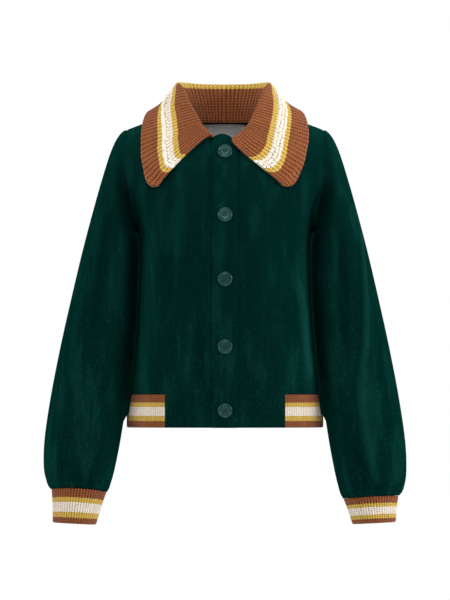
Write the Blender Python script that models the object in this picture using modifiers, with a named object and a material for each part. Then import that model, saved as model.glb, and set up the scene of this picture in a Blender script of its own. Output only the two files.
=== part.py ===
"""A short plush jacket, worn and hollow, with a ribbed knit collar, cuffs and waistband.

Every panel is a real cloth wall. The body panels share one torso surface, so their
edges meet at seams; the sleeves start from the armholes, and the collar from the neck.
Lengths are millimetres until the meshes are made. +X is the viewer's right, the front
faces -Y and +Z is up. The origin lies in the neck opening, at shoulder height.
"""

import math

import bmesh
import bpy
import mathutils
import numpy as np

MM = 0.001

# --- driving dimensions, in mm -------------------------------------------------
PLUSH_WALL = 3.0            # plush cloth with its pile
RIB_WALL = 4.0              # doubled rib knit of the waistband and cuffs
COLLAR_WALL = 4.2           # heavier rib knit of the collar
LABEL_WALL = 1.0
SEAM_GAP = 0.3              # between two pieces at a seam
ROUNDNESS = 2.4             # exponent of the torso's section: 2 is an ellipse

HEM_Z = -527.0
RIB_TOP_Z = -471.7          # the waistband's upper seam
RIB_END_X = 98.7            # the plain front reaches the hem inside this
PLACKET_LEFT_X = -21.0
PLACKET_RIGHT_X = 20.0
PLACKET_PEAK_Z = -45.0
PLACKET_GAP = 0.6           # between the placket and the fronts beneath it
UNDERLAP_X = -18.0          # the left front's edge, beneath the placket
NECK_HALF_WIDTH = 70.0
SHOULDER_TIP_X = 163.0
SHOULDER_SLOPE = 0.38
SLOPE_EASE = 14.0           # rounds the start of the shoulder's slope
SLOPE_FADE = 165.0          # the slope fades out over this height above the underarm

RIB_PITCH = 4.8             # waistband and cuffs
RIB_HEIGHT = 1.2
CUFF_RIBS = 36
CUFF_STEP = 1.5             # how far a cuff's top lies inside its sleeve's end
CUFF_TAPER = 0.8            # under 1: it narrows sooner near the sleeve
COLLAR_RIBS = 76
COLLAR_DEPTH = 125.0        # from the neck seam over the roll to the outer edge
COLLAR_RIB_HEIGHT = 1.5
BOBBLE_HEIGHT = 2.4
BOBBLE_FROM_EDGE = 41.0     # the bobble row, measured in from the collar's outer edge
GATHERS = 10                # soft pleats above each cuff
GATHER_DEPTH = 2.4
SEAM_RUN = 8.0              # how far a sleeve runs on along the body before it turns
SLEEVE_CLEARANCE = 1.2      # between a sleeve and the side of the body that it lies on

BUTTON_RADIUS = 12.0
BUTTON_THICKNESS = 4.0
BUTTON_X = 0.0
BUTTON_GAP = 0.6            # under a button, which stands on the band's roundest line
BUTTON_HEIGHTS = (-74.0, -177.0, -282.0, -393.0, -498.0)

LABEL_HALF_WIDTH = 38.0
LABEL_TOP_Z = -22.4
LABEL_BOTTOM_Z = -66.0

# The torso, a section for each height: height, half width, front depth, back depth.
TORSO = np.array([
    (-527.0, 162.0, 108.0, 102.0),
    (-500.0, 161.5, 110.0, 104.0),
    (-471.0, 158.0, 114.0, 108.0),
    (-440.0, 154.0, 118.0, 112.0),
    (-380.0, 149.0, 121.0, 114.0),
    (-310.0, 145.0, 123.0, 116.0),
    (-250.0, 142.5, 124.0, 118.0),
    (-215.0, 143.0, 123.0, 119.0),
    (-170.0, 152.0, 118.0, 118.0),
    (-125.0, 168.0, 107.0, 113.0),
    (-85.0, 185.0, 93.0, 103.0),
    (-50.0, 199.0, 74.0, 86.0),
    (-22.0, 208.0, 49.0, 60.0),
    (-6.0, 212.0, 25.0, 31.0),
    (0.0, 213.0, 0.0, 0.0),
])
ARMPIT_ROW = 7.0            # the row at the underarm
SHOULDER_ROW = 14.0         # the row at the shoulder seam
NECK_FRONT_ROW = 11.0       # the row where the fronts' neck edge starts
NECK_BACK_ROW = 12.08       # the row where the back's neck edge starts

# The sleeve, a ring for each row: outer x and z, inner x and z, centre y, half depth.
SLEEVE = np.array([
    (163.0, -35.5, 143.5, -214.5, 0.0, 58.0),
    (186.0, -63.0, 148.5, -213.5, -2.0, 64.0),
    (203.0, -118.0, 146.0, -221.0, -6.0, 67.0),
    (219.0, -175.0, 143.5, -246.0, -10.0, 67.0),
    (236.0, -240.0, 143.5, -290.0, -13.0, 66.0),
    (254.0, -316.0, 146.5, -347.0, -15.0, 65.0),
    (271.0, -392.0, 151.5, -412.0, -16.0, 64.0),
    (286.0, -468.0, 161.5, -480.0, -17.0, 63.0),
    (297.0, -540.0, 172.0, -546.0, -18.0, 61.0),
    (299.5, -590.0, 181.0, -594.0, -18.0, 57.0),
    (295.5, -616.0, 187.0, -620.0, -18.0, 50.0),
    (288.0, -631.0, 193.5, -636.0, -18.0, 43.0),
])
RING_STEPS = (0.0, 0.3, 0.65, 1.05, 1.5, 2.1, 2.8, 3.6, 4.6, 5.7, 6.8, 7.8, 8.8, 9.6, 10.3, 11.0)

# The cuffs: name, side, drop and lean beyond the sleeve's end, length, end half width
# and half depth.
CUFFS = (
    ("right", -1.0, 0.0, 5.0, 52.0, 36.0, 36.0),
    ("left", 1.0, -10.0, 3.0, 41.0, 36.0, 36.0),
)

# The collar, a section for each station from the front end (0) to the centre back (1):
# station, the roll's x, y and z, the outer edge's x, y and z, and the fall's swell.
COLLAR = np.array([
    (0.00, 19.5, -83.5, -46.8, 110.0, -98.0, -128.0, 14.0),
    (0.02, 22.1, -82.9, -45.5, 117.0, -96.5, -131.5, 15.0),
    (0.04, 24.7, -82.3, -44.2, 124.5, -94.0, -129.5, 16.0),
    (0.06, 27.4, -81.2, -42.1, 129.5, -91.0, -123.5, 17.0),
    (0.08, 30.2, -79.6, -39.3, 132.7, -87.0, -115.0, 17.5),
    (0.10, 33.0, -78.0, -36.5, 134.5, -82.0, -105.0, 18.0),
    (0.13, 36.0, -75.0, -33.0, 137.0, -74.0, -89.0, 19.5),
    (0.17, 40.0, -71.0, -28.0, 139.0, -61.0, -66.0, 22.0),
    (0.25, 47.5, -63.0, -13.0, 139.0, -43.0, -41.0, 26.0),
    (0.33, 54.5, -52.0, 3.0, 136.0, -15.0, -20.0, 30.0),
    (0.40, 60.5, -39.0, 19.0, 129.0, 8.0, -7.0, 32.0),
    (0.50, 67.5, -19.0, 35.0, 113.0, 32.0, -3.0, 34.0),
    (0.62, 72.5, 12.0, 41.0, 92.0, 54.0, -12.0, 34.0),
    (0.75, 63.0, 42.0, 41.5, 64.0, 73.0, -21.0, 32.0),
    (0.87, 37.0, 60.0, 39.5, 34.0, 82.0, -26.0, 30.0),
    (1.00, 0.0, 66.0, 39.0, 0.0, 85.0, -27.0, 30.0),
])
COLLAR_START = 6.0          # the collar's end, beyond the neck edge's front corner
LEFT_TIP_SHIFT = -15.0      # the left leaf's tip lies nearer the centre than the right's
TIP_STATION = 0.24          # where that shift has faded out
LEFT_ROLL_SHIFT = (-8.0, -7.5, -6.0)    # the left leaf's end laps over the placket
ROLL_STATION = 0.14         # where that lap has faded out
RIGHT_BOW = 7.5             # how far the right leaf's front edge is hollowed upwards
LEFT_BOW = -3.0             # the left leaf's front edge is almost straight
END_CROWDING = 1.3          # over 1: the ribs crowd towards the collar's front ends
BOW_STATION = 0.22          # where that hollow has faded out
COLLAR_CLEARANCE = 1.0      # between the fall and the panels

# --- colours, from the photo ---------------------------------------------------
PLUSH_GREEN = (0.004, 0.045, 0.032, 1.0)
KNIT_BROWN = (0.36, 0.13, 0.05, 1.0)
LABEL_GREY = (0.62, 0.62, 0.60, 1.0)
BUTTON_GREEN = (0.02, 0.05, 0.045, 1.0)


# --- curves and surfaces --------------------------------------------------------
def along(rows, place):
    """A smooth value between a table's rows: Catmull-Rom, place 0 at the first row."""
    last = len(rows) - 1
    place = np.clip(np.asarray(place, float), 0.0, last)
    start = np.minimum(place.astype(int), last - 1)
    part = (place - start)[..., None]
    a, b, c, d = (rows[np.clip(start + k, 0, last)] for k in (-1, 0, 1, 2))
    cubic = 3.0 * (b - c) + d - a
    return b + 0.5 * part * (c - a + part * (2.0 * a - 5.0 * b + 4.0 * c - d + part * cubic))


FINE_ROWS = np.linspace(0.0, len(TORSO) - 1, 2801)
FINE_HEIGHTS = along(TORSO, FINE_ROWS)[:, 0]


def row_at(height):
    """The torso row, counted with parts of a row, at a height."""
    return np.interp(height, FINE_HEIGHTS, FINE_ROWS)


def smooth_step(value):
    value = np.clip(value, 0.0, 1.0)
    return value * value * (3.0 - 2.0 * value)


def shoulder_drop(x, height):
    """How far the shoulders slope down at x; it fades out towards the underarm."""
    beyond = np.abs(x) - NECK_HALF_WIDTH
    eased = 0.5 * (beyond + np.sqrt(beyond * beyond + SLOPE_EASE * SLOPE_EASE))
    armpit = TORSO[int(ARMPIT_ROW), 0]
    return SHOULDER_SLOPE * eased * smooth_step((height - armpit) / SLOPE_FADE)


def torso(angle, row, back=False):
    """A point of the outer surface; angle 0 is the centre line, 90 degrees the side."""
    height, half_width, front, rear = np.moveaxis(along(TORSO, row), -1, 0)
    power = 2.0 / ROUNDNESS
    x = half_width * np.sign(angle) * np.abs(np.sin(angle)) ** power
    depth = rear if back else -front
    y = depth * np.abs(np.cos(angle)) ** power
    return np.stack([x, y, height - shoulder_drop(x, height)], axis=-1)


def unit(vectors):
    return vectors / np.linalg.norm(vectors, axis=-1, keepdims=True)


def torso_normal(angle, row, back=False):
    """The outward direction there; at a seam in the plane y = 0 it has no y part."""
    quarter = math.pi / 2.0
    turn = 0.002
    rise = 0.01
    low, high = np.clip(angle - turn, -quarter, quarter), np.clip(angle + turn, -quarter, quarter)
    under, over = np.clip(row - rise, 0.0, SHOULDER_ROW), np.clip(row + rise, 0.0, SHOULDER_ROW)
    across = torso(high, row, back) - torso(low, row, back)
    upward = torso(angle, over, back) - torso(angle, under, back)
    normal = np.cross(across, upward) * (-1.0 if back else 1.0)
    normal[..., 1] = np.where(on_seam(angle, row), 0.0, normal[..., 1])
    return unit(normal)


def on_seam(angle, row):
    """True on the side seams and on the shoulder seams."""
    at_side = np.abs(angle) > math.pi / 2.0 - 1e-6
    return at_side | (np.asarray(row) > SHOULDER_ROW - 1e-6)


def angle_at(x, row):
    """The angle of the surface point that lies at x in a row."""
    half_width = along(TORSO, row)[..., 1]
    ratio = np.clip(np.abs(x) / half_width, 0.0, 1.0)
    return np.sign(x) * np.arcsin(ratio ** (ROUNDNESS / 2.0))


def panel_points(angle, row, back=False):
    """Surface points and normals of a panel, parted by half the gap at its seams."""
    points = torso(angle, row, back)
    parted = 0.5 * SEAM_GAP * (1.0 if back else -1.0)
    points[..., 1] += np.where(on_seam(angle, row), parted, 0.0)
    return points, torso_normal(angle, row, back)


# --- shared edges: armhole and neck ---------------------------------------------
ARMHOLE_EASE = 1.7
SHOULDER_TIP_ANGLE = float(angle_at(SHOULDER_TIP_X, SHOULDER_ROW))


def armhole_share(row):
    """0 at the underarm and 1 at the shoulder tip, for a row of the torso."""
    share = (row - ARMPIT_ROW) / (SHOULDER_ROW - ARMPIT_ROW)
    return np.clip(share, 0.0, 1.0) ** (1.0 / ARMHOLE_EASE)


def armhole_row(share):
    return ARMPIT_ROW + (SHOULDER_ROW - ARMPIT_ROW) * share ** ARMHOLE_EASE


def armhole_angle(share):
    """A quarter turn at the underarm, so that the armhole's foot is round."""
    opening = math.pi / 2.0 - SHOULDER_TIP_ANGLE
    return SHOULDER_TIP_ANGLE + opening * (1.0 - share) ** ARMHOLE_EASE


def neck_x(row, back=False):
    """Half the neck opening's width in a row above its lowest point."""
    column = 3 if back else 2
    start = NECK_BACK_ROW if back else NECK_FRONT_ROW
    reach = along(TORSO, np.asarray(start))[column] * (1.0 if back else 1.035)
    ratio = along(TORSO, row)[..., column] / reach
    return NECK_HALF_WIDTH * np.sqrt(np.clip(1.0 - ratio * ratio, 0.0, 1.0))


FRONT_SHARE = float(armhole_share(NECK_FRONT_ROW))
BACK_SHARE = float(armhole_share(NECK_BACK_ROW))
LOW_SHARES = np.linspace(0.0, FRONT_SHARE, 9)
MIDDLE_SHARES = np.linspace(FRONT_SHARE, BACK_SHARE, 3)[1:]
TOP_SHARES = np.linspace(BACK_SHARE, 1.0, 5)[1:]
SHARES = np.concatenate([LOW_SHARES, MIDDLE_SHARES, TOP_SHARES])
UPPER_ROWS = armhole_row(SHARES)
LOWER_ROWS = row_at(np.array([RIB_TOP_Z, -440.0, -390.0, -335.0, -275.0]))
PANEL_ROWS = np.concatenate([LOWER_ROWS, UPPER_ROWS])
FOOT_ROWS = row_at(np.array([HEM_Z, -500.0, RIB_TOP_Z]))


# --- meshes ----------------------------------------------------------------------
def new_object(name, points, faces, material):
    """One named object from points in mm, with its faces turned outwards."""
    mesh = bpy.data.meshes.new(name)
    mesh.from_pydata([tuple(point) for point in np.asarray(points) * MM], [], faces)
    shape = bmesh.new()
    shape.from_mesh(mesh)
    bmesh.ops.triangulate(shape, faces=shape.faces)
    bmesh.ops.recalc_face_normals(shape, faces=shape.faces)
    if shape.calc_volume(signed=True) < 0.0:
        bmesh.ops.reverse_faces(shape, faces=shape.faces)
    shape.to_mesh(mesh)
    shape.free()
    mesh.shade_smooth()
    mesh.materials.append(material)
    thing = bpy.data.objects.new(name, mesh)
    JACKET.objects.link(thing)
    return thing


def grid_faces(rows, columns, first=0, closed=False):
    """Quads of a grid whose points are stored row by row."""
    faces = []
    for row in range(rows - 1):
        for column in range(columns if closed else columns - 1):
            beside = (column + 1) % columns
            low, high = first + row * columns, first + (row + 1) * columns
            faces.append((low + column, low + beside, high + beside, high + column))
    return faces


def zip_faces(one, other, closed=False):
    """Triangles between two point lists that run side by side, whatever their counts."""
    if closed:
        one, other = one + one[:1], other + other[:1]
    faces = []
    i = j = 0
    while i < len(one) - 1 or j < len(other) - 1:
        next_one = (i + 1) / (len(one) - 1)
        next_other = (j + 1) / (len(other) - 1)
        if next_one <= next_other + 1e-9:
            faces.append((one[i], one[i + 1], other[j]))
            i += 1
        else:
            faces.append((one[i], other[j + 1], other[j]))
            j += 1
    return faces


def cloth_wall(name, patches, wall, material):
    """A wall from patches of surface points and normals that share border points."""
    points, normals, faces = [], [], []
    known = {}
    for patch_points, patch_normals in patches:
        rows, columns = patch_points.shape[:2]
        numbers = []
        for point, normal in zip(patch_points.reshape(-1, 3), patch_normals.reshape(-1, 3)):
            key = tuple(np.round(point, 3))
            if key not in known:
                known[key] = len(points)
                points.append(point)
                normals.append(normal)
            numbers.append(known[key])
        faces += [tuple(numbers[k] for k in face) for face in grid_faces(rows, columns)]
    points, normals = np.array(points), np.array(normals)
    count = len(points)
    edges = {}
    for face in faces:
        for start, end in zip(face, face[1:] + face[:1]):
            edges[(start, end)] = True
    border = [edge for edge in edges if edge[::-1] not in edges]
    inner = [tuple(count + k for k in reversed(face)) for face in faces]
    sides = [(end, start, count + start, count + end) for start, end in border]
    both = np.concatenate([points, points - wall * normals])
    return new_object(name, both, faces + inner + sides, material)


def rib_wall(name, outer, inner, material, closed=False):
    """A wall from a fine outer grid and a coarser plain inner grid, zipped at its edges."""
    rows, columns = outer.shape[:2]
    inner_rows, inner_columns = inner.shape[:2]
    first = rows * columns
    points = np.concatenate([outer.reshape(-1, 3), inner.reshape(-1, 3)])
    faces = grid_faces(rows, columns, 0, closed)
    faces += [face[::-1] for face in grid_faces(inner_rows, inner_columns, first, closed)]
    for row, inner_row in ((0, 0), (rows - 1, inner_rows - 1)):
        one = [row * columns + k for k in range(columns)]
        other = [first + inner_row * inner_columns + k for k in range(inner_columns)]
        faces += zip_faces(one, other, closed)
    if not closed:
        for column, inner_column in ((0, 0), (columns - 1, inner_columns - 1)):
            one = [row * columns + column for row in range(rows)]
            other = [first + row * inner_columns + inner_column for row in range(inner_rows)]
            faces += zip_faces(one, other)
    return new_object(name, points, faces, material)


def material(name, colour, roughness):
    made = bpy.data.materials.new(name)
    made.use_nodes = True
    shader = made.node_tree.nodes["Principled BSDF"]
    shader.inputs["Base Color"].default_value = colour
    shader.inputs["Roughness"].default_value = roughness
    shader.inputs["Metallic"].default_value = 0.0
    return made


# --- the body ----------------------------------------------------------------------
INNER_COLUMNS = 4           # from the front edge or the neck to the rib's end
OUTER_COLUMNS = 5           # from there to the side seam or the armhole


def spread(start, middle, end):
    """Angles across a row: even steps to the middle, and even steps beyond it."""
    near = np.linspace(start, middle, INNER_COLUMNS + 1)
    far = np.linspace(middle, end, OUTER_COLUMNS + 1)[1:]
    return np.concatenate([near, far])


def side_angle(row):
    """Where a row ends: the side seam below the underarm, the armhole above it."""
    if row <= ARMPIT_ROW:
        return math.pi / 2.0
    return float(armhole_angle(armhole_share(row)))


def front(name, side, edge_x, finish):
    """A front panel: its upper part, and the plain foot beside the placket."""
    angles, rows = [], []
    for row in PANEL_ROWS:
        start_x = edge_x
        if row > NECK_FRONT_ROW - 1e-6:
            start_x = side * float(neck_x(row))
        start = float(angle_at(start_x, row))
        middle = float(angle_at(side * RIB_END_X, row))
        angles.append(spread(start, middle, side * side_angle(row)))
        rows.append(np.full(len(angles[-1]), row))
    upper = panel_points(np.array(angles), np.array(rows))
    angles, rows = [], []
    for row in FOOT_ROWS:
        start, end = float(angle_at(edge_x, row)), float(angle_at(side * RIB_END_X, row))
        angles.append(np.linspace(start, end, INNER_COLUMNS + 1))
        rows.append(np.full(INNER_COLUMNS + 1, row))
    foot = panel_points(np.array(angles), np.array(rows))
    return cloth_wall(name, [upper, foot], PLUSH_WALL, finish)


def back_half(side):
    """Half of the back: a grid from the centre line or the neck to the side."""
    angles, rows = [], []
    for row in PANEL_ROWS:
        start_x = 0.0
        if row > NECK_BACK_ROW + 1e-6:
            start_x = float(neck_x(row, back=True))
        start = float(angle_at(start_x, row))
        middle = float(angle_at(RIB_END_X, row))
        half = spread(start, middle, side_angle(row))
        angles.append(half if side > 0.0 else -half[::-1])
        rows.append(np.full(len(half), row))
    return panel_points(np.array(angles), np.array(rows), back=True)


def back_panel(finish):
    """The back, in two halves that part at the neck opening."""
    return cloth_wall("back", [back_half(-1.0), back_half(1.0)], PLUSH_WALL, finish)


def placket_peak(x):
    """The placket's top edge, highest left of the centre and rounded to the right."""
    return PLACKET_PEAK_Z - 15.0 * ((x + 5.0) / 25.0) ** 2


def placket(finish):
    """The band over both front edges, a seam gap above them, on the panels' own rows."""
    across = np.linspace(PLACKET_LEFT_X, PLACKET_RIGHT_X, 5)
    under_peak = NECK_FRONT_ROW - 0.3
    body_rows = np.concatenate([FOOT_ROWS[:-1], PANEL_ROWS[PANEL_ROWS < under_peak]])
    rows = np.repeat(body_rows[:, None], len(across), axis=1)
    rows = np.vstack([rows, row_at(placket_peak(across))])
    x = np.broadcast_to(across, rows.shape)
    angle = angle_at(x, rows)
    normals = torso_normal(angle, rows)
    points = torso(angle, rows) + (PLACKET_GAP + PLUSH_WALL) * normals
    return cloth_wall("placket", [(points, normals)], PLUSH_WALL, finish)


def label(finish):
    """A bare label on the inner face of the back, made from the back's own points."""
    panel, directions = back_half(1.0)
    centre_heights = panel[:, 0, 2]
    across = np.linspace(-LABEL_HALF_WIDTH, LABEL_HALF_WIDTH, 7)
    within = (centre_heights > LABEL_BOTTOM_Z + 4.0) & (centre_heights < LABEL_TOP_Z - 4.0)
    heights = np.concatenate([[LABEL_BOTTOM_Z], centre_heights[within], [LABEL_TOP_Z]])
    below_neck = PANEL_ROWS < NECK_BACK_ROW + 1e-6
    points, normals = [], []
    for height in heights:
        place = np.interp(height, centre_heights[below_neck], np.arange(below_neck.sum()))
        start = min(int(place), len(panel) - 2)
        part = place - start
        line = (1.0 - part) * panel[start] + part * panel[start + 1]
        facing = (1.0 - part) * directions[start] + part * directions[start + 1]
        for x in across:
            mirror = np.array([1.0 if x >= 0.0 else -1.0, 1.0, 1.0])
            spot = np.array([np.interp(abs(x), line[:, 0], line[:, k]) for k in range(3)]) * mirror
            out = np.array([np.interp(abs(x), line[:, 0], facing[:, k]) for k in range(3)]) * mirror
            normals.append(unit(out))
            points.append(spot - (PLUSH_WALL + SEAM_GAP) * normals[-1])
    shape = (len(heights), len(across), 3)
    patch = (np.array(points).reshape(shape), np.array(normals).reshape(shape))
    return cloth_wall("neck_label", [patch], LABEL_WALL, finish)


def waistband(finish):
    """The ribbed band round the back, from one front end to the other."""
    top = RIB_TOP_Z - SEAM_GAP
    heights = np.array([HEM_Z, -500.0, top])
    end_x = RIB_END_X + SEAM_GAP

    def ring(count, lift):
        """Points round the band: a share of its girth for each column."""
        rows = []
        for height in heights:
            row = float(row_at(height))
            end = float(angle_at(end_x, row))
            fine = np.linspace(end, math.pi, 400)
            back = fine > math.pi / 2.0
            fold = np.where(back, math.pi - fine, fine)
            places = np.where(back[:, None], torso(fold, row, True), torso(fold, row))
            normals = np.where(back[:, None], torso_normal(fold, row, True), torso_normal(fold, row))
            return_rows = np.concatenate([places, places[::-1] * (-1.0, 1.0, 1.0)])
            return_normals = np.concatenate([normals, normals[::-1] * (-1.0, 1.0, 1.0)])
            steps = np.linalg.norm(np.diff(return_rows, axis=0), axis=1)
            length = np.concatenate([[0.0], np.cumsum(steps)])
            wanted = np.linspace(0.0, length[-1], count)
            point = np.stack([np.interp(wanted, length, return_rows[:, k]) for k in range(3)], 1)
            normal = np.stack([np.interp(wanted, length, return_normals[:, k]) for k in range(3)], 1)
            rows.append(point + lift[:, None] * unit(normal))
        return np.array(rows), length[-1]

    girth = ring(3, np.zeros(3))[1]
    ribs = int(girth / RIB_PITCH)
    columns = 2 * ribs + 1
    wave = np.where(np.arange(columns) % 2 == 1, 0.4, 0.4 - RIB_HEIGHT)
    outer = ring(columns, wave)[0]
    inner = ring(49, np.full(49, -RIB_WALL))[0]
    return rib_wall("waistband_rib", outer, inner, finish)


# --- the sleeves -------------------------------------------------------------------
def armhole_ring():
    """Points and normals round an armhole: shoulder tip, front, underarm, back."""
    front_shares = SHARES[::-1]
    points, normals = [], []
    for shares, back in ((front_shares, False), (SHARES[1:-1], True)):
        angle, row = armhole_angle(shares), armhole_row(shares)
        points.append(torso(angle, row, back))
        normals.append(torso_normal(angle, row, back))
    return np.concatenate(points), np.concatenate(normals)


def body_side_x(y, z):
    """How far out the body's side reaches, at a depth and a height below the underarm."""
    half_width, front, rear = np.moveaxis(along(TORSO, row_at(z)), -1, 0)[1:]
    ratio = np.clip(np.abs(y) / np.where(y < 0.0, front, rear), 0.0, 1.0)
    return half_width * (1.0 - ratio ** ROUNDNESS) ** (1.0 / ROUNDNESS)


def sleeve_end():
    """The directions across and down at the sleeve's end, and half its width."""
    outer_x, outer_z, inner_x, inner_z = SLEEVE[-1, :4]
    reach = np.array([outer_x - inner_x, 0.0, outer_z - inner_z])
    across = unit(reach)
    return across, np.array([across[2], 0.0, -across[0]]), np.linalg.norm(reach) / 2.0


def sleeve_rings(drop):
    """The sleeve's outer surface on the +X side, ring by ring, and its normals."""
    start, start_normals = armhole_ring()
    count = len(start)
    turn = 2.0 * math.pi * np.arange(count) / count
    ahead = np.roll(start, -1, axis=0) - np.roll(start, 1, axis=0)
    away = unit(np.cross(ahead, start_normals))
    away *= np.sign(away[0, 0])
    rings = []
    for step in RING_STEPS:
        outer_x, outer_z, inner_x, inner_z, centre_y, half_depth = along(SLEEVE, np.array(step))
        lower = drop * smooth_step((step - 3.0) / 8.0)
        centre = np.array([(outer_x + inner_x) / 2.0, centre_y, (outer_z + inner_z) / 2.0 + lower])
        across = np.array([(outer_x - inner_x) / 2.0, 0.0, (outer_z - inner_z) / 2.0])
        gather = GATHER_DEPTH * smooth_step((step - 8.0) / 3.0) * np.cos(GATHERS * turn)
        swell = 1.0 + gather / np.linalg.norm(across)
        wide = np.sign(np.cos(turn)) * np.abs(np.cos(turn)) ** 0.9 * swell
        deep = -np.sign(np.sin(turn)) * np.abs(np.sin(turn)) ** 0.9 * half_depth * swell
        ring = centre + wide[:, None] * across
        ring[:, 1] += deep
        share = smooth_step(step / 2.2)
        leaving = start + (SEAM_GAP + SEAM_RUN * step) * away
        ring = (1.0 - share) * leaving + share * ring
        beside = ring[:, 2] < TORSO[int(ARMPIT_ROW), 0] + 8.0
        clear = body_side_x(ring[:, 1], ring[:, 2]) + SLEEVE_CLEARANCE
        ring[:, 0] = np.where(beside, np.maximum(ring[:, 0], clear), ring[:, 0])
        rings.append(ring)
    rings = np.array(rings)
    around = np.roll(rings, -1, axis=1) - np.roll(rings, 1, axis=1)
    down = np.gradient(rings, axis=0)
    normals = unit(np.cross(around, down))
    normals *= np.sign(normals[5, 0, 0])
    normals[0] = start_normals
    down = sleeve_end()[1]
    normals[-1] = unit(normals[-1] - (normals[-1] @ down)[:, None] * down)
    return rings, normals


def sleeve(name, side, drop, finish):
    rings, normals = sleeve_rings(drop)
    outer = rings * (side, 1.0, 1.0)
    inner = (rings - PLUSH_WALL * normals) * (side, 1.0, 1.0)
    return rib_wall(name, outer, inner, finish, closed=True)


def cuff(name, side, drop, lean, length, end_half_width, end_half_depth, finish):
    """A ribbed tube below the sleeve's end ring, tapering and leaning outwards."""
    outer_x, outer_z, inner_x, inner_z, centre_y, half_depth = SLEEVE[-1]
    across, down, half_width = sleeve_end()
    start_width, start_depth = half_width - CUFF_STEP, half_depth - CUFF_STEP
    top = np.array([(outer_x + inner_x) / 2.0, centre_y, (outer_z + inner_z) / 2.0 + drop])

    def ring(count, share, lift):
        turn = 2.0 * math.pi * np.arange(count) / count
        middle = top + down * (1.2 * SEAM_GAP + share * length) + across * lean * share
        taper = share ** CUFF_TAPER
        wide = start_width + (end_half_width - start_width) * taper + lift
        deep = start_depth + (end_half_depth - start_depth) * taper + lift
        points = middle + (np.cos(turn) * wide)[:, None] * across
        points[:, 1] -= np.sin(turn) * deep
        return points * (side, 1.0, 1.0)

    shares = (0.0, 0.3, 0.65, 1.0)
    columns = 2 * CUFF_RIBS
    wave = np.where(np.arange(columns) % 2 == 1, 0.0, -RIB_HEIGHT)
    outer = np.array([ring(columns, share, wave) for share in shares])
    inner = np.array([ring(24, share, -RIB_WALL) for share in shares])
    return rib_wall(name, outer, inner, finish, closed=True)


# --- the collar ----------------------------------------------------------------------
def neck_edge(side):
    """The panels' neck edge from the front end to the centre back: points and normals."""
    front_rows = UPPER_ROWS[UPPER_ROWS > NECK_FRONT_ROW - 1e-6]
    back_rows = UPPER_ROWS[UPPER_ROWS > NECK_BACK_ROW - 1e-6][::-1][1:]
    front_angles = angle_at(neck_x(front_rows), front_rows)
    back_angles = angle_at(neck_x(back_rows, back=True), back_rows)
    points = np.concatenate([torso(front_angles, front_rows), torso(back_angles, back_rows, True)])
    normals = [torso_normal(front_angles, front_rows), torso_normal(back_angles, back_rows, True)]
    mirror = np.array([side, 1.0, 1.0])
    return points * mirror, np.concatenate(normals) * mirror


def surface_top(x, y):
    """The height of the torso's surface over a place near the neck and shoulders."""
    low, high = np.full(np.shape(x), -215.0), np.full(np.shape(x), -0.01)
    for _ in range(30):
        height = 0.5 * (low + high)
        _, half_width, front, rear = np.moveaxis(along(TORSO, row_at(height)), -1, 0)
        depth = np.where(y < 0.0, front, rear)
        inside = (np.abs(x) / half_width) ** ROUNDNESS + (np.abs(y) / depth) ** ROUNDNESS < 1.0
        low, high = np.where(inside, height, low), np.where(inside, high, height)
    return low - shoulder_drop(x, low)


def pushed_clear(points, clearance):
    """The points, moved off the torso's surface where they are nearer than clearance."""
    points = points.copy()
    step = 0.5
    for _ in range(6):
        x, y, z = np.moveaxis(points, -1, 0)
        top = surface_top(x, y)
        slope_x = (surface_top(x + step, y) - surface_top(x - step, y)) / (2.0 * step)
        slope_y = (surface_top(x, y + step) - surface_top(x, y - step)) / (2.0 * step)
        size = np.sqrt(1.0 + slope_x ** 2 + slope_y ** 2)
        short = np.clip(clearance - (z - top) / size, 0.0, 12.0)
        direction = np.stack([-slope_x / size, -slope_y / size, 1.0 / size], axis=-1)
        points += 0.7 * short[..., None] * direction
    return points


def hermite(start, pull, end, end_pull, shares):
    """A curve between two points that leaves and arrives along the two pulls."""
    share = shares[:, None]
    squared, cubed = share ** 2, share ** 3
    leaving = (2.0 * cubed - 3.0 * squared + 1.0) * start + (cubed - 2.0 * squared + share) * pull
    return leaving + (3.0 * squared - 2.0 * cubed) * end + (cubed - squared) * end_pull


def lengths_along(points):
    """The length of a line of points up to each of them."""
    steps = np.linalg.norm(np.diff(points, axis=0), axis=1)
    return np.concatenate([[0.0], np.cumsum(steps)])


def point_along(points, lengths, place):
    return np.array([np.interp(place, lengths, points[:, k]) for k in range(3)])


STAND_SHARES = np.linspace(0.0, 1.0, 24)
FALL_SHARES = np.linspace(0.0, 1.0, 40)


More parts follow.
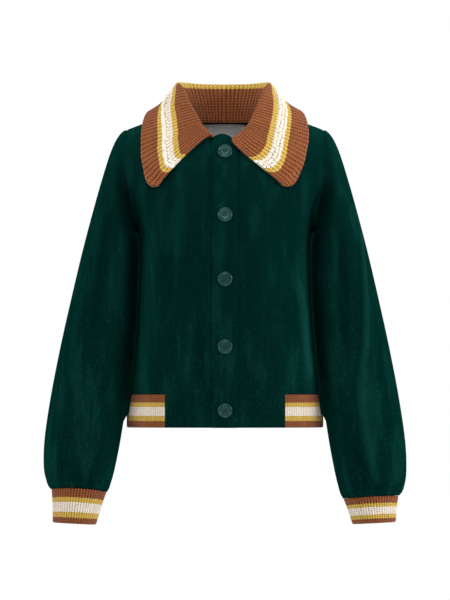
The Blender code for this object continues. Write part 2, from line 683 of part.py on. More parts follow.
def collar_section(station, depths):
    """The collar's ribbed face at one station, from the neck seam to the outer edge.

    The stations run from -1 at the right front end, through 0 at the centre back, to 1.
    """
    side = -1.0 if station < 0.0 else 1.0
    reach = 1.0 - abs(station)
    points, normals = neck_edge(side)
    lengths = lengths_along(points)
    place = COLLAR_START + reach * (lengths[-1] - COLLAR_START)
    normal = unit(point_along(normals, lengths, place))
    ahead = point_along(points, lengths, place + 2.0) - point_along(points, lengths, place - 2.0)
    inward = unit(np.cross(normal, ahead)) * side
    start = point_along(points, lengths, place) + SEAM_GAP * 1.3 * inward - PLUSH_WALL * normal
    row = along(COLLAR, np.interp(reach, COLLAR[:, 0], np.arange(len(COLLAR))))
    roll, edge, swell = row[1:4].copy(), row[4:7].copy(), row[7]
    if side > 0.0:
        edge[0] += LEFT_TIP_SHIFT * (1.0 - smooth_step(reach / TIP_STATION))
        lap = 1.0 - smooth_step(reach / ROLL_STATION)
        roll += np.array(LEFT_ROLL_SHIFT) * lap
    roll, edge = roll * (side, 1.0, 1.0), edge * (side, 1.0, 1.0)
    over = unit(edge - start)
    rise = roll - start
    height = np.linalg.norm(rise)
    upward = 0.5 * rise + min(height, 10.0) * inward
    stand = hermite(start, upward, roll, over * min(0.9 * height, 16.0), STAND_SHARES)
    fall = hermite(roll, over * swell, edge, edge - roll, FALL_SHARES)
    bow = (LEFT_BOW if side > 0.0 else RIGHT_BOW) * (1.0 - smooth_step(reach / BOW_STATION))
    aside = unit(np.array([roll[2] - edge[2], 0.0, edge[0] - roll[0]])) * side
    hollow = (4.0 * FALL_SHARES * (1.0 - FALL_SHARES)) ** 0.8 * (1.5 - FALL_SHARES)
    fall += (bow * hollow)[:, None] * aside
    extra = (PLACKET_GAP + PLUSH_WALL) * (np.abs(fall[:, 0]) < PLACKET_RIGHT_X + COLLAR_WALL)
    fall = pushed_clear(fall, COLLAR_WALL + COLLAR_CLEARANCE + extra)
    curve = np.concatenate([stand, fall[1:]])
    lengths = lengths_along(curve)
    face = np.array([point_along(curve, lengths, depth * lengths[-1]) for depth in depths])
    return face, normal


def collar_face(stations, depths):
    """The ribbed face and its outward directions, as grids of depths by stations."""
    sections = [collar_section(station, depths) for station in stations]
    face = np.moveaxis(np.array([section[0] for section in sections]), 0, 1)
    seam = np.array([section[1] for section in sections])
    along_neck = np.gradient(face, axis=1)
    outwards = unit(np.cross(along_neck, np.gradient(face, axis=0)))
    outwards[0] = -seam
    return face, outwards


def spaced_stations(count):
    """Stations along the collar, closer together near its two front ends."""
    places = np.linspace(-1.0, 1.0, count)
    return np.sign(places) * (1.0 - (1.0 - np.abs(places)) ** END_CROWDING)


def collar(finish):
    """Stand and fall in one ribbed wall, with a row of bobbles on the fall."""
    columns = 2 * COLLAR_RIBS + 1
    bobble_depth = 1.0 - BOBBLE_FROM_EDGE / COLLAR_DEPTH
    stations = spaced_stations(columns)
    depths = np.array([0.0, 0.1, 0.22, 0.34, 0.43, 0.51, 0.58, 0.63,
                       bobble_depth, 0.71, 0.8, 0.9, 1.0])
    face, outwards = collar_face(stations, depths)
    crest = np.arange(columns) % 2 == 1
    lift = np.where(crest, COLLAR_RIB_HEIGHT, 0.0) * np.ones((len(depths), 1))
    lift[depths == bobble_depth] += np.where(crest, BOBBLE_HEIGHT, 0.0)
    lift[0] = 0.0
    outer = face + lift[..., None] * outwards
    plain_depths = np.array([0.0, 0.1, 0.22, 0.34, 0.43, 0.51, 0.6, 0.72, 0.86, 1.0])
    plain, directions = collar_face(spaced_stations(41), plain_depths)
    inner = plain - COLLAR_WALL * directions
    return rib_wall("collar", outer, inner, finish)


# --- the buttons ---------------------------------------------------------------------
# A button's half profile from the middle of its top: shares of its radius and height.
BUTTON_PROFILE = (
    (0.00, 0.66),
    (0.66, 0.66),
    (0.76, 1.00),
    (0.92, 0.95),
    (1.00, 0.60),
    (0.90, 0.00),
    (0.00, 0.00),
)


def button(name, height, finish):
    """A turned, rimmed button, seated on the placket and facing out along it."""
    profile = [
        (radius * BUTTON_RADIUS * MM, 0.0, level * BUTTON_THICKNESS * MM)
        for radius, level in BUTTON_PROFILE
    ]
    mesh = bpy.data.meshes.new(name)
    mesh.from_pydata(profile, [(k, k + 1) for k in range(len(profile) - 1)], [])
    mesh.materials.append(finish)
    thing = bpy.data.objects.new(name, mesh)
    JACKET.objects.link(thing)
    turn = thing.modifiers.new("turned", "SCREW")
    turn.steps = 20
    turn.render_steps = 20
    turn.use_merge_vertices = True
    turn.merge_threshold = 0.00001
    row = float(row_at(height))
    angle = float(angle_at(BUTTON_X, row))
    facing = mathutils.Vector(torso_normal(angle, row))
    lift = PLACKET_GAP + PLUSH_WALL + BUTTON_GAP
    seat = mathutils.Vector(torso(angle, row)) + facing * lift
    thing.location = seat * MM
    thing.rotation_mode = "QUATERNION"
    thing.rotation_quaternion = facing.to_track_quat("Z", "Y")
    return thing


# --- the scene -----------------------------------------------------------------------
for old in list(bpy.data.objects):
    bpy.data.objects.remove(old, do_unlink=True)

JACKET = bpy.data.collections.new("plush_jacket")
bpy.context.scene.collection.children.link(JACKET)

front("front_right", -1.0, UNDERLAP_X - SEAM_GAP, material("plush_front_right", PLUSH_GREEN, 0.9))
front("front_left", 1.0, UNDERLAP_X, material("plush_front_left", PLUSH_GREEN, 0.9))
back_panel(material("plush_back", PLUSH_GREEN, 0.9))
placket(material("plush_placket", PLUSH_GREEN, 0.9))
label(material("label_weave", LABEL_GREY, 0.8))
waistband(material("rib_waistband", KNIT_BROWN, 0.9))
for cuff_row in CUFFS:
    cuff_name, cuff_side, cuff_drop = cuff_row[:3]
    sleeve_green = material("plush_sleeve_" + cuff_name, PLUSH_GREEN, 0.9)
    sleeve("sleeve_" + cuff_name, cuff_side, cuff_drop, sleeve_green)
    cuff("cuff_" + cuff_name, *cuff_row[1:], material("rib_cuff_" + cuff_name, KNIT_BROWN, 0.9))
collar(material("rib_collar", KNIT_BROWN, 0.9))
for number, button_height in enumerate(BUTTON_HEIGHTS, start=1):
    button(f"button_{number}", button_height, material(f"horn_{number}", BUTTON_GREEN, 0.3))
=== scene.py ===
"""A worn, hollow plush jacket with a ribbed knit collar, cuffs and waistband.

The sections follow the jacket as it is sewn together: the panels, the placket, the
sleeves, the knitted bands, the collar with its bobbles, the label and the buttons.
Tables are in millimetres; a mesh is made in metres.
"""

import math

import bmesh
import bpy
import mathutils
import numpy as np
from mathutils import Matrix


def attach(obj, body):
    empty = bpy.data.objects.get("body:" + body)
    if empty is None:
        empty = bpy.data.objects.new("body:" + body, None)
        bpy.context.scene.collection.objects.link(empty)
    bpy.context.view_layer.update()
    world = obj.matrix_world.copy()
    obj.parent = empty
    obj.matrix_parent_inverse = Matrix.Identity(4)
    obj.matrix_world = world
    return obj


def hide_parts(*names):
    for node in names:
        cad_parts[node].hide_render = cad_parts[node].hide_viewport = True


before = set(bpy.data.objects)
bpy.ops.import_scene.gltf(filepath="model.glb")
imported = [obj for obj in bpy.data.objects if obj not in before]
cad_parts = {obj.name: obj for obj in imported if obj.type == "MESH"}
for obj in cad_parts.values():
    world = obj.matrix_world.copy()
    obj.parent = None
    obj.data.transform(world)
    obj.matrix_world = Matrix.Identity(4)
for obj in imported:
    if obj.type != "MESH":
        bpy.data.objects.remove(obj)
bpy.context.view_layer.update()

# ---------------------------------------------------------------------------------------
# The studio: a pale floor well below the jacket, a white surround and five soft boxes, one
# to each side, one above, one in front and one behind. The camera stands level, far off.
PICTURE_CENTRE = (0.0, 0.0, -0.3168)
PICTURE_HEIGHT = 0.990
CAMERA_DISTANCE = 30.0
CAMERA_REACH = 80.0
SENSOR_HEIGHT = 24.0
FLOOR_Z = -1.10
FLOOR_SIZE = 6.0
SURROUND_GLOW = 0.14
SOFT_BOXES = (
    # place, size, power
    ((-2.7, -0.95, 0.5), 1.3, 52.0),
    ((2.7, -1.0, 0.3), 1.3, 82.0),
    ((0.0, -0.9, 2.5), 1.5, 34.0),
    ((-0.3, -3.6, 2.0), 1.6, 56.0),
    ((0.0, 2.4, 1.2), 2.0, 24.0),
)

scene = bpy.context.scene
scene.view_settings.view_transform = "Standard"
world = bpy.data.worlds.new("white_surround")
world.use_nodes = True
surround = world.node_tree.nodes["Background"]
surround.inputs["Color"].default_value = (1.0, 1.0, 1.0, 1.0)
seen = world.node_tree.nodes.new("ShaderNodeLightPath")
glow = world.node_tree.nodes.new("ShaderNodeMapRange")
glow.inputs["To Min"].default_value = SURROUND_GLOW
glow.inputs["To Max"].default_value = 1.0
world.node_tree.links.new(seen.outputs["Is Camera Ray"], glow.inputs["Value"])
world.node_tree.links.new(glow.outputs["Result"], surround.inputs["Strength"])
scene.world = world

camera_data = bpy.data.cameras.new("camera")
camera_data.sensor_fit = "VERTICAL"
camera_data.sensor_height = SENSOR_HEIGHT
camera_data.lens = SENSOR_HEIGHT * CAMERA_DISTANCE / PICTURE_HEIGHT
camera_data.clip_end = CAMERA_REACH
camera = bpy.data.objects.new("camera", camera_data)
camera.location = (PICTURE_CENTRE[0], PICTURE_CENTRE[1] - CAMERA_DISTANCE, PICTURE_CENTRE[2])
camera.rotation_euler = (math.radians(90.0), 0.0, 0.0)
scene.collection.objects.link(camera)
scene.camera = camera

for number, (place, size, power) in enumerate(SOFT_BOXES, start=1):
    light = bpy.data.lights.new(f"soft_box_{number}", "AREA")
    light.size = size
    light.energy = power
    soft_box = bpy.data.objects.new(f"soft_box_{number}", light)
    soft_box.location = place
    aim = mathutils.Vector(PICTURE_CENTRE) - mathutils.Vector(place)
    soft_box.rotation_euler = aim.to_track_quat("-Z", "Y").to_euler()
    scene.collection.objects.link(soft_box)

bpy.ops.mesh.primitive_plane_add(size=FLOOR_SIZE, location=(0.0, 0.0, FLOOR_Z))
floor = bpy.context.object
floor.name = "floor"


# ---------------------------------------------------------------------------------------
# The two fronts are plush panels with a soft knitted back: short dark pile that lies
# downwards. They are sewn to the back at the side and the shoulder, and end in a plain
# foot beside the placket, where no ribbing runs.
MM = 0.001
QUARTER = math.pi / 2.0
FULL_TURN = 2.0 * math.pi
# an angle or a row this near to an edge lies on it
TINY = 1e-6
PLUSH_WALL = 3.0
SEAM_GAP = 0.3
ROUNDNESS = 2.4
HEM_Z = -527.0
RIB_TOP_Z = -471.7
RIB_END_X = 98.7
UNDERLAP_X = -18.0
NECK_HALF_WIDTH = 70.0
SHOULDER_TIP_X = 163.0
SHOULDER_SLOPE = 0.38
SLOPE_EASE = 14.0
SLOPE_FADE = 165.0
ARMHOLE_EASE = 1.7
FRONT_NECK_DROP = 1.035

# height, half width, depth in front, depth behind
TORSO = np.array([
    (-527.0, 162.0, 108.0, 102.0),
    (-500.0, 161.5, 110.0, 104.0),
    (-471.0, 158.0, 114.0, 108.0),
    (-440.0, 154.0, 118.0, 112.0),
    (-380.0, 149.0, 121.0, 114.0),
    (-310.0, 145.0, 123.0, 116.0),
    (-250.0, 142.5, 124.0, 118.0),
    (-215.0, 143.0, 123.0, 119.0),
    (-170.0, 152.0, 118.0, 118.0),
    (-125.0, 168.0, 107.0, 113.0),
    (-85.0, 185.0, 93.0, 103.0),
    (-50.0, 199.0, 74.0, 86.0),
    (-22.0, 208.0, 49.0, 60.0),
    (-6.0, 212.0, 25.0, 31.0),
    (0.0, 213.0, 0.0, 0.0),
])
ARMPIT_ROW = 7.0
SHOULDER_ROW = 14.0
NECK_FRONT_ROW = 11.0
NECK_BACK_ROW = 12.08


def along(rows, place):
    """A smooth value between a table's rows; place 0 is the first row."""
    last = len(rows) - 1
    place = np.clip(np.asarray(place, float), 0.0, last)
    start = np.minimum(place.astype(int), last - 1)
    part = (place - start).reshape(place.shape + (1,) * (rows.ndim - 1))
    a, b, c, d = (rows[np.clip(start + k, 0, last)] for k in (-1, 0, 1, 2))
    cubic = 3.0 * (b - c) + d - a
    return b + 0.5 * part * (c - a + part * (2.0 * a - 5.0 * b + 4.0 * c - d + part * cubic))


FINE_ROWS = np.linspace(0.0, len(TORSO) - 1, 2801)
FINE_HEIGHTS = along(TORSO, FINE_ROWS)[:, 0]


def row_at(height):
    """The torso's row, with parts of a row, at a height."""
    return np.interp(height, FINE_HEIGHTS, FINE_ROWS)


def smooth_step(value):
    value = np.clip(value, 0.0, 1.0)
    return value * value * (3.0 - 2.0 * value)


def shoulder_drop(x, height):
    """How far the shoulder slopes down at x; it fades out towards the underarm."""
    beyond = np.abs(x) - NECK_HALF_WIDTH
    eased = 0.5 * (beyond + np.sqrt(beyond * beyond + SLOPE_EASE * SLOPE_EASE))
    armpit = TORSO[int(ARMPIT_ROW), 0]
    return SHOULDER_SLOPE * eased * smooth_step((height - armpit) / SLOPE_FADE)


def torso(angle, row, back=False):
    """A point of the body's surface; angle 0 is the centre line, 90 degrees the side."""
    height, half_width, front_depth, back_depth = np.moveaxis(along(TORSO, row), -1, 0)
    power = 2.0 / ROUNDNESS
    x = half_width * np.sign(angle) * np.abs(np.sin(angle)) ** power
    depth = back_depth if back else -front_depth
    y = depth * np.abs(np.cos(angle)) ** power
    return np.stack([x, y, height - shoulder_drop(x, height)], axis=-1)


def unit(vectors):
    return vectors / np.linalg.norm(vectors, axis=-1, keepdims=True)


def on_seam(angle, row):
    return (np.abs(angle) > QUARTER - TINY) | (np.asarray(row) > SHOULDER_ROW - TINY)


# how far apart the points are that a direction is taken from
ANGLE_STEP = 0.002
ROW_STEP = 0.01


def torso_normal(angle, row, back=False):
    """The outward direction there; at a seam it has no part along the seam's own gap."""
    low, high = (np.clip(angle + step, -QUARTER, QUARTER) for step in (-ANGLE_STEP, ANGLE_STEP))
    under, over = (np.clip(row + step, 0.0, SHOULDER_ROW) for step in (-ROW_STEP, ROW_STEP))
    across = torso(high, row, back) - torso(low, row, back)
    upward = torso(angle, over, back) - torso(angle, under, back)
    normal = np.cross(across, upward) * (-1.0 if back else 1.0)
    normal[..., 1] = np.where(on_seam(angle, row), 0.0, normal[..., 1])
    return unit(normal)


def angle_at(x, row):
    """The angle of the surface point that lies at x in a row."""
    half_width = along(TORSO, row)[..., 1]
    ratio = np.clip(np.abs(x) / half_width, 0.0, 1.0)
    return np.sign(x) * np.arcsin(ratio ** (ROUNDNESS / 2.0))


SHOULDER_TIP_ANGLE = float(angle_at(SHOULDER_TIP_X, SHOULDER_ROW))


def armhole_share(row):
    """0 at the underarm and 1 at the shoulder tip."""
    share = (row - ARMPIT_ROW) / (SHOULDER_ROW - ARMPIT_ROW)
    return np.clip(share, 0.0, 1.0) ** (1.0 / ARMHOLE_EASE)


def armhole_row(share):
    return ARMPIT_ROW + (SHOULDER_ROW - ARMPIT_ROW) * share ** ARMHOLE_EASE


def armhole_angle(share):
    opening = QUARTER - SHOULDER_TIP_ANGLE
    return SHOULDER_TIP_ANGLE + opening * (1.0 - share) ** ARMHOLE_EASE


def neck_x(row, back=False):
    """Half the neck opening's width in a row above its lowest point."""
    column = 3 if back else 2
    start = NECK_BACK_ROW if back else NECK_FRONT_ROW
    reach = along(TORSO, np.asarray(start))[column] * (1.0 if back else FRONT_NECK_DROP)
    ratio = along(TORSO, row)[..., column] / reach
    return NECK_HALF_WIDTH * np.sqrt(np.clip(1.0 - ratio * ratio, 0.0, 1.0))


FRONT_SHARE = float(armhole_share(NECK_FRONT_ROW))
BACK_SHARE = float(armhole_share(NECK_BACK_ROW))
SHARES = np.concatenate([
    np.linspace(0.0, FRONT_SHARE, 33),
    np.linspace(FRONT_SHARE, BACK_SHARE, 9)[1:],
    np.linspace(BACK_SHARE, 1.0, 17)[1:],
])
UPPER_ROWS = armhole_row(SHARES)
LOWER_TOP_Z = -219.0
LOWER_ROWS = row_at(np.linspace(RIB_TOP_Z, LOWER_TOP_Z, 62))
PANEL_ROWS = np.concatenate([LOWER_ROWS, UPPER_ROWS])
FOOT_ROWS = row_at(np.linspace(HEM_Z, RIB_TOP_Z, 15))


def side_angle(row):
    if row <= ARMPIT_ROW:
        return QUARTER
    return float(armhole_angle(armhole_share(row)))


def eased_steps(start, end, count):
    """Steps that are shorter near both ends, where a seam draws the cloth in."""
    even = np.linspace(0.0, 1.0, count + 1)
    drawn = 0.5 - 0.5 * np.cos(math.pi * even)
    return start + (end - start) * (0.55 * even + 0.45 * drawn)


FOOT_COLUMNS = 29
SIDE_COLUMNS = 27


def spread(start, middle, end):
    """Angles across a panel: from its inner edge to the ribbing's end, and on to the side."""
    beyond = np.linspace(middle, end, SIDE_COLUMNS)[1:]
    return np.concatenate([np.linspace(start, middle, FOOT_COLUMNS), beyond])


# Soft folds of the body: width and height in mm (a trough is negative), then the path.
FRONT_FOLDS = (
    (9.0, 5.2, ((118.0, -285.0), (126.0, -330.0), (132.0, -394.0), (140.0, -452.0))),
    (12.0, -2.2, ((100.0, -320.0), (106.0, -370.0), (118.0, -440.0))),
    (11.0, 1.8, ((82.0, -360.0), (88.0, -410.0), (94.0, -462.0))),
    (15.0, 2.0, ((52.0, -130.0), (60.0, -220.0), (66.0, -320.0))),
    (8.0, -1.5, ((34.0, -300.0), (36.0, -400.0), (35.0, -505.0))),
    (8.0, 1.3, ((56.0, -410.0), (60.0, -470.0), (62.0, -520.0))),
    (13.0, 2.2, ((-116.0, -176.0), (-118.0, -260.0), (-112.0, -350.0), (-118.0, -440.0))),
    (14.0, -1.8, ((-88.0, -170.0), (-92.0, -270.0), (-86.0, -380.0))),
    (9.0, -2.0, ((-43.0, -345.0), (-41.0, -400.0), (-45.0, -470.0))),
    (8.0, 1.4, ((-60.0, -380.0), (-62.0, -450.0), (-58.0, -520.0))),
    (9.0, 1.2, ((-30.0, -200.0), (-32.0, -280.0), (-30.0, -360.0))),
    (10.0, -2.2, ((122.0, -226.0), (108.0, -240.0), (88.0, -262.0))),
    (10.0, -2.0, ((-122.0, -226.0), (-108.0, -244.0), (-92.0, -270.0))),
)
BACK_FOLDS = (
    (15.0, 2.2, ((-60.0, -120.0), (-66.0, -270.0), (-76.0, -420.0))),
    (14.0, 2.0, ((52.0, -140.0), (66.0, -290.0), (74.0, -440.0))),
    (11.0, -2.0, ((-104.0, -250.0), (-106.0, -350.0), (-112.0, -450.0))),
    (12.0, -2.2, ((106.0, -240.0), (110.0, -340.0), (120.0, -450.0))),
    (12.0, 1.7, ((-14.0, -290.0), (-6.0, -370.0), (-9.0, -460.0))),
    (9.0, 2.6, ((124.0, -290.0), (128.0, -370.0), (136.0, -450.0))),
    (9.0, 2.2, ((-122.0, -300.0), (-130.0, -380.0), (-136.0, -455.0))),
    (10.0, -2.0, ((138.0, -218.0), (118.0, -240.0), (96.0, -272.0))),
    (10.0, -2.2, ((-138.0, -218.0), (-120.0, -236.0), (-94.0, -262.0))),
)


FOLD_POINTS = 121
# a fold fades in from before its path's start and out beyond its end, in parts of the path
FOLD_BEYOND = 0.12
FOLD_FADE = 0.3


def folded(x, z, folds):
    """The height of the folds over a surface, in mm."""
    height = np.zeros(np.shape(x))
    for width, lift, path in folds:
        line = along(np.array(path), np.linspace(0.0, len(path) - 1, FOLD_POINTS))
        gap_x, gap_z = x[..., None] - line[:, 0], z[..., None] - line[:, 1]
        gaps = np.sqrt(gap_x * gap_x + gap_z * gap_z)
        share = gaps.argmin(axis=-1) / (FOLD_POINTS - 1)
        fade = smooth_step((share + FOLD_BEYOND) / FOLD_FADE)
        fade *= smooth_step((1.0 + FOLD_BEYOND - share) / FOLD_FADE)
        height += lift * fade * np.exp(-(gaps.min(axis=-1) / width) ** 2)
    return height


SEAM_DEPTH = 0.9
SEAM_HALF_WIDTH = 3.0
# the folds die out towards the side seam and towards the shoulder
CALM_SIDE = 25.0
CALM_TOP = 40.0
CALM_FADE = 60.0
SHOULDER_ROW_LENGTH = 18.0


def seam_dip(distance):
    """How deep the pile is drawn in near a seam, in mm."""
    return -SEAM_DEPTH * np.exp(-(distance / SEAM_HALF_WIDTH) ** 2)


def body_patch(angles, rows, back=False):
    """Points, normals and fold heights of part of a panel."""
    angle = np.array(angles)
    row = np.repeat(np.array(rows)[:, None], angle.shape[1], axis=1)
    points, normals = torso(angle, row, back), torso_normal(angle, row, back)
    girth = np.linalg.norm(np.diff(points, axis=1), axis=-1)
    from_start = np.concatenate([np.zeros((len(points), 1)), np.cumsum(girth, axis=1)], axis=1)
    parted = 0.5 * SEAM_GAP * (1.0 if back else -1.0)
    points[..., 1] += np.where(on_seam(angle, row), parted, 0.0)
    first, last = np.abs(angle[0, 0]), np.abs(angle[0, -1])
    from_side = from_start[:, -1:] - from_start if last > first else from_start
    x, z = points[..., 0], points[..., 2]
    calm = smooth_step(from_side / CALM_SIDE) * smooth_step((-z - CALM_TOP) / CALM_FADE)
    lift = folded(x, z, BACK_FOLDS if back else FRONT_FOLDS) * calm
    if max(first, last) > QUARTER - TINY:
        from_shoulder = np.abs(row - SHOULDER_ROW) * SHOULDER_ROW_LENGTH
        lift = lift + seam_dip(from_side) + seam_dip(from_shoulder)
    return points + lift[..., None] * normals, normals, lift


def grid_faces(rows, columns, first=0, closed=False):
    """Quads of a grid whose points are stored row by row."""
    faces = []
    for row in range(rows - 1):
        for column in range(columns if closed else columns - 1):
            beside = (column + 1) % columns
            low, high = first + row * columns, first + (row + 1) * columns
            faces.append((low + column, low + beside, high + beside, high + column))
    return faces


def linked(name, mesh):
    """An object of the scene that holds a mesh."""
    made = bpy.data.objects.new(name, mesh)
    scene.collection.objects.link(made)
    return made


def meshed(name, points, faces):
    """A mesh from points in mm."""
    mesh = bpy.data.meshes.new(name)
    mesh.from_pydata((np.asarray(points) * MM).tolist(), [], faces)
    return mesh


def riding(name, mesh):
    """A named piece; nothing on the jacket moves, so all of them ride on the root."""
    piece = linked(name, mesh)
    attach(piece, "root")
    return piece


def finished(name, points, faces, materials, inner_from, maps, map_name):
    """A piece with its faces turned outwards: an outer material, an inner one, and a map."""
    mesh = meshed(name, points, faces)
    for material in materials:
        mesh.materials.append(material)
    slots = np.zeros(len(faces), dtype=np.int32)
    slots[inner_from:] = 1
    mesh.polygons.foreach_set("material_index", slots)
    layer = mesh.uv_layers.new(name=map_name)
    corners = np.empty(len(mesh.loops), dtype=np.int32)
    mesh.loops.foreach_get("vertex_index", corners)
    layer.data.foreach_set("uv", np.asarray(maps, dtype=np.float32)[corners].ravel())
    shape = bmesh.new()
    shape.from_mesh(mesh)
    bmesh.ops.recalc_face_normals(shape, faces=shape.faces)
    if shape.calc_volume(signed=True) < 0.0:
        bmesh.ops.reverse_faces(shape, faces=shape.faces)
    shape.to_mesh(mesh)
    shape.free()
    mesh.shade_smooth()
    return riding(name, mesh)


def fold_height_map(heights):
    """The map that tells the plush how high each point stands on a fold, for its painted
    highlights on crests and painted shade in troughs.
    """
    return np.stack([heights, np.zeros(len(heights))], axis=1)


def cloth(name, patches, wall, materials):
    """A cloth wall from patches of points, normals and fold heights that share borders."""
    points, normals, lifts, faces, known = [], [], [], [], {}
    for patch_points, patch_normals, patch_lifts in patches:
        rows, columns = patch_points.shape[:2]
        numbers = []
        for point, normal, lift in zip(patch_points.reshape(-1, 3),
                                       patch_normals.reshape(-1, 3), patch_lifts.ravel()):
            key = tuple(np.round(point, 3))
            if key not in known:
                known[key] = len(points)
                points.append(point)
                normals.append(normal)
                lifts.append(lift)
            numbers.append(known[key])
        faces += [tuple(numbers[k] for k in face) for face in grid_faces(rows, columns)]
    points, normals = np.array(points), np.array(normals)
    count = len(points)
    edges = {(a, b) for face in faces for a, b in zip(face, face[1:] + face[:1])}
    border = [(a, b) for a, b in edges if (b, a) not in edges]
    sides = [(b, a, count + a, count + b) for a, b in sorted(border)]
    inner = [tuple(count + k for k in reversed(face)) for face in faces]
    both = np.concatenate([points, points - wall * normals])
    inner_from = len(faces) + len(sides)
    nap = fold_height_map(lifts + lifts)
    return finished(name, both, faces + sides + inner, materials, inner_from, nap, "nap")


class Level:
    """A value that varies over a surface: a socket that arithmetic can be done with."""

    def __init__(self, finish, socket):
        self.finish = finish
        self.socket = socket

    def maths(self, operation, one, other):
        return self.finish.node("ShaderNodeMath", {"operation": operation}, {0: one, 1: other})

    def apply(self, operation, other=0.0):
        return self.maths(operation, self, other)

    def part(self, axis):
        """One coordinate of a place or a direction."""
        return self.finish.node("ShaderNodeSeparateXYZ", {}, {0: self}, axis)

    def __add__(self, other):
        return self.maths("ADD", self, other)

    def __sub__(self, other):
        return self.maths("SUBTRACT", self, other)

    def __rsub__(self, other):
        return self.maths("SUBTRACT", other, self)

    def __mul__(self, other):
        return self.maths("MULTIPLY", self, other)

    def __truediv__(self, other):
        return self.maths("DIVIDE", self, other)

    __radd__ = __add__
    __rmul__ = __mul__


class Finish:
    """A material in the making."""

    def __init__(self, name, roughness, **constants):
        self.material = bpy.data.materials.new(name)
        self.material.use_nodes = True
        self.shader = self.material.node_tree.nodes["Principled BSDF"]
        self.shader.inputs["Roughness"].default_value = roughness
        for socket, value in constants.items():
            self.shader.inputs[socket.replace("_", " ")].default_value = value

    def node(self, kind, settings, sockets, output=0):
        """Any node: its settings first, then the values or links of its sockets."""
        made = self.material.node_tree.nodes.new(kind)
        for name, value in settings.items():
            if name == "stops":
                for stop in value[2:]:
                    made.color_ramp.elements.new(stop[0])
                for element, (place, colour) in zip(made.color_ramp.elements, value):
                    element.position = place
                    element.color = colour
            elif name == "interpolation" and hasattr(made, "color_ramp"):
                made.color_ramp.interpolation = value
            else:
                setattr(made, name, value)
        for name, value in sockets.items():
            self.join(made.inputs[name], value)
        return Level(self, made.outputs[output])

    def join(self, socket, value):
        if isinstance(value, Level):
            self.material.node_tree.links.new(value.socket, socket)
        else:
            socket.default_value = value

    def mixed(self, share, one, other, blend="MIX"):
        """One colour changing into the other, or another blend of the two."""
        settings = {"data_type": "RGBA", "blend_type": blend}
        return self.node("ShaderNodeMix", settings, {0: share, 6: one, 7: other}, 2)

    def noise(self, place, scale, detail=3.0, roughness=0.55):
        return self.node("ShaderNodeTexNoise", {}, {
            "Vector": place, "Scale": scale, "Detail": detail, "Roughness": roughness})

    def spot(self):
        """Object coordinates."""
        return self.node("ShaderNodeTexCoord", {}, {}, 3)

    def place(self, scale=(1.0, 1.0, 1.0)):
        """Object coordinates, stretched."""
        return self.node("ShaderNodeMapping", {}, {"Vector": self.spot(), "Scale": scale})

    def show(self, colour, height=None, strength=0.0, distance=0.0):
        """The material, with a colour and, where there is one, a fine relief in metres."""
        self.join(self.shader.inputs["Base Color"], colour)
        if height is not None:
            bump = self.node("ShaderNodeBump", {}, {
                "Height": height, "Strength": strength, "Distance": distance})
            self.join(self.shader.inputs["Normal"], bump)
        return self.material


PLUSH_DEEP = (0.0003, 0.0128, 0.0102, 1.0)
PLUSH_LIT = (0.0045, 0.0480, 0.0385, 1.0)
# the dark green of the painted shade between a sleeve and the body
PLUSH_PAINTED_SHADE = (0.0002, 0.0030, 0.0028, 1.0)
# how often the pile's marks come in a metre, across and down
BAND_SCALE = (44.0, 44.0, 8.0)
FLECK_SCALE = (420.0, 420.0, 900.0)
GRAIN_SCALE = (900.0, 900.0, 500.0)
SPECK_SCALE = (300.0, 300.0, 560.0)
# the body's side in metres: where it is narrowest, and how it widens below and above that
WAIST_X = 0.1425
WAIST_Z = -0.23
WIDER_BELOW = 0.27
WIDER_ABOVE = 0.17


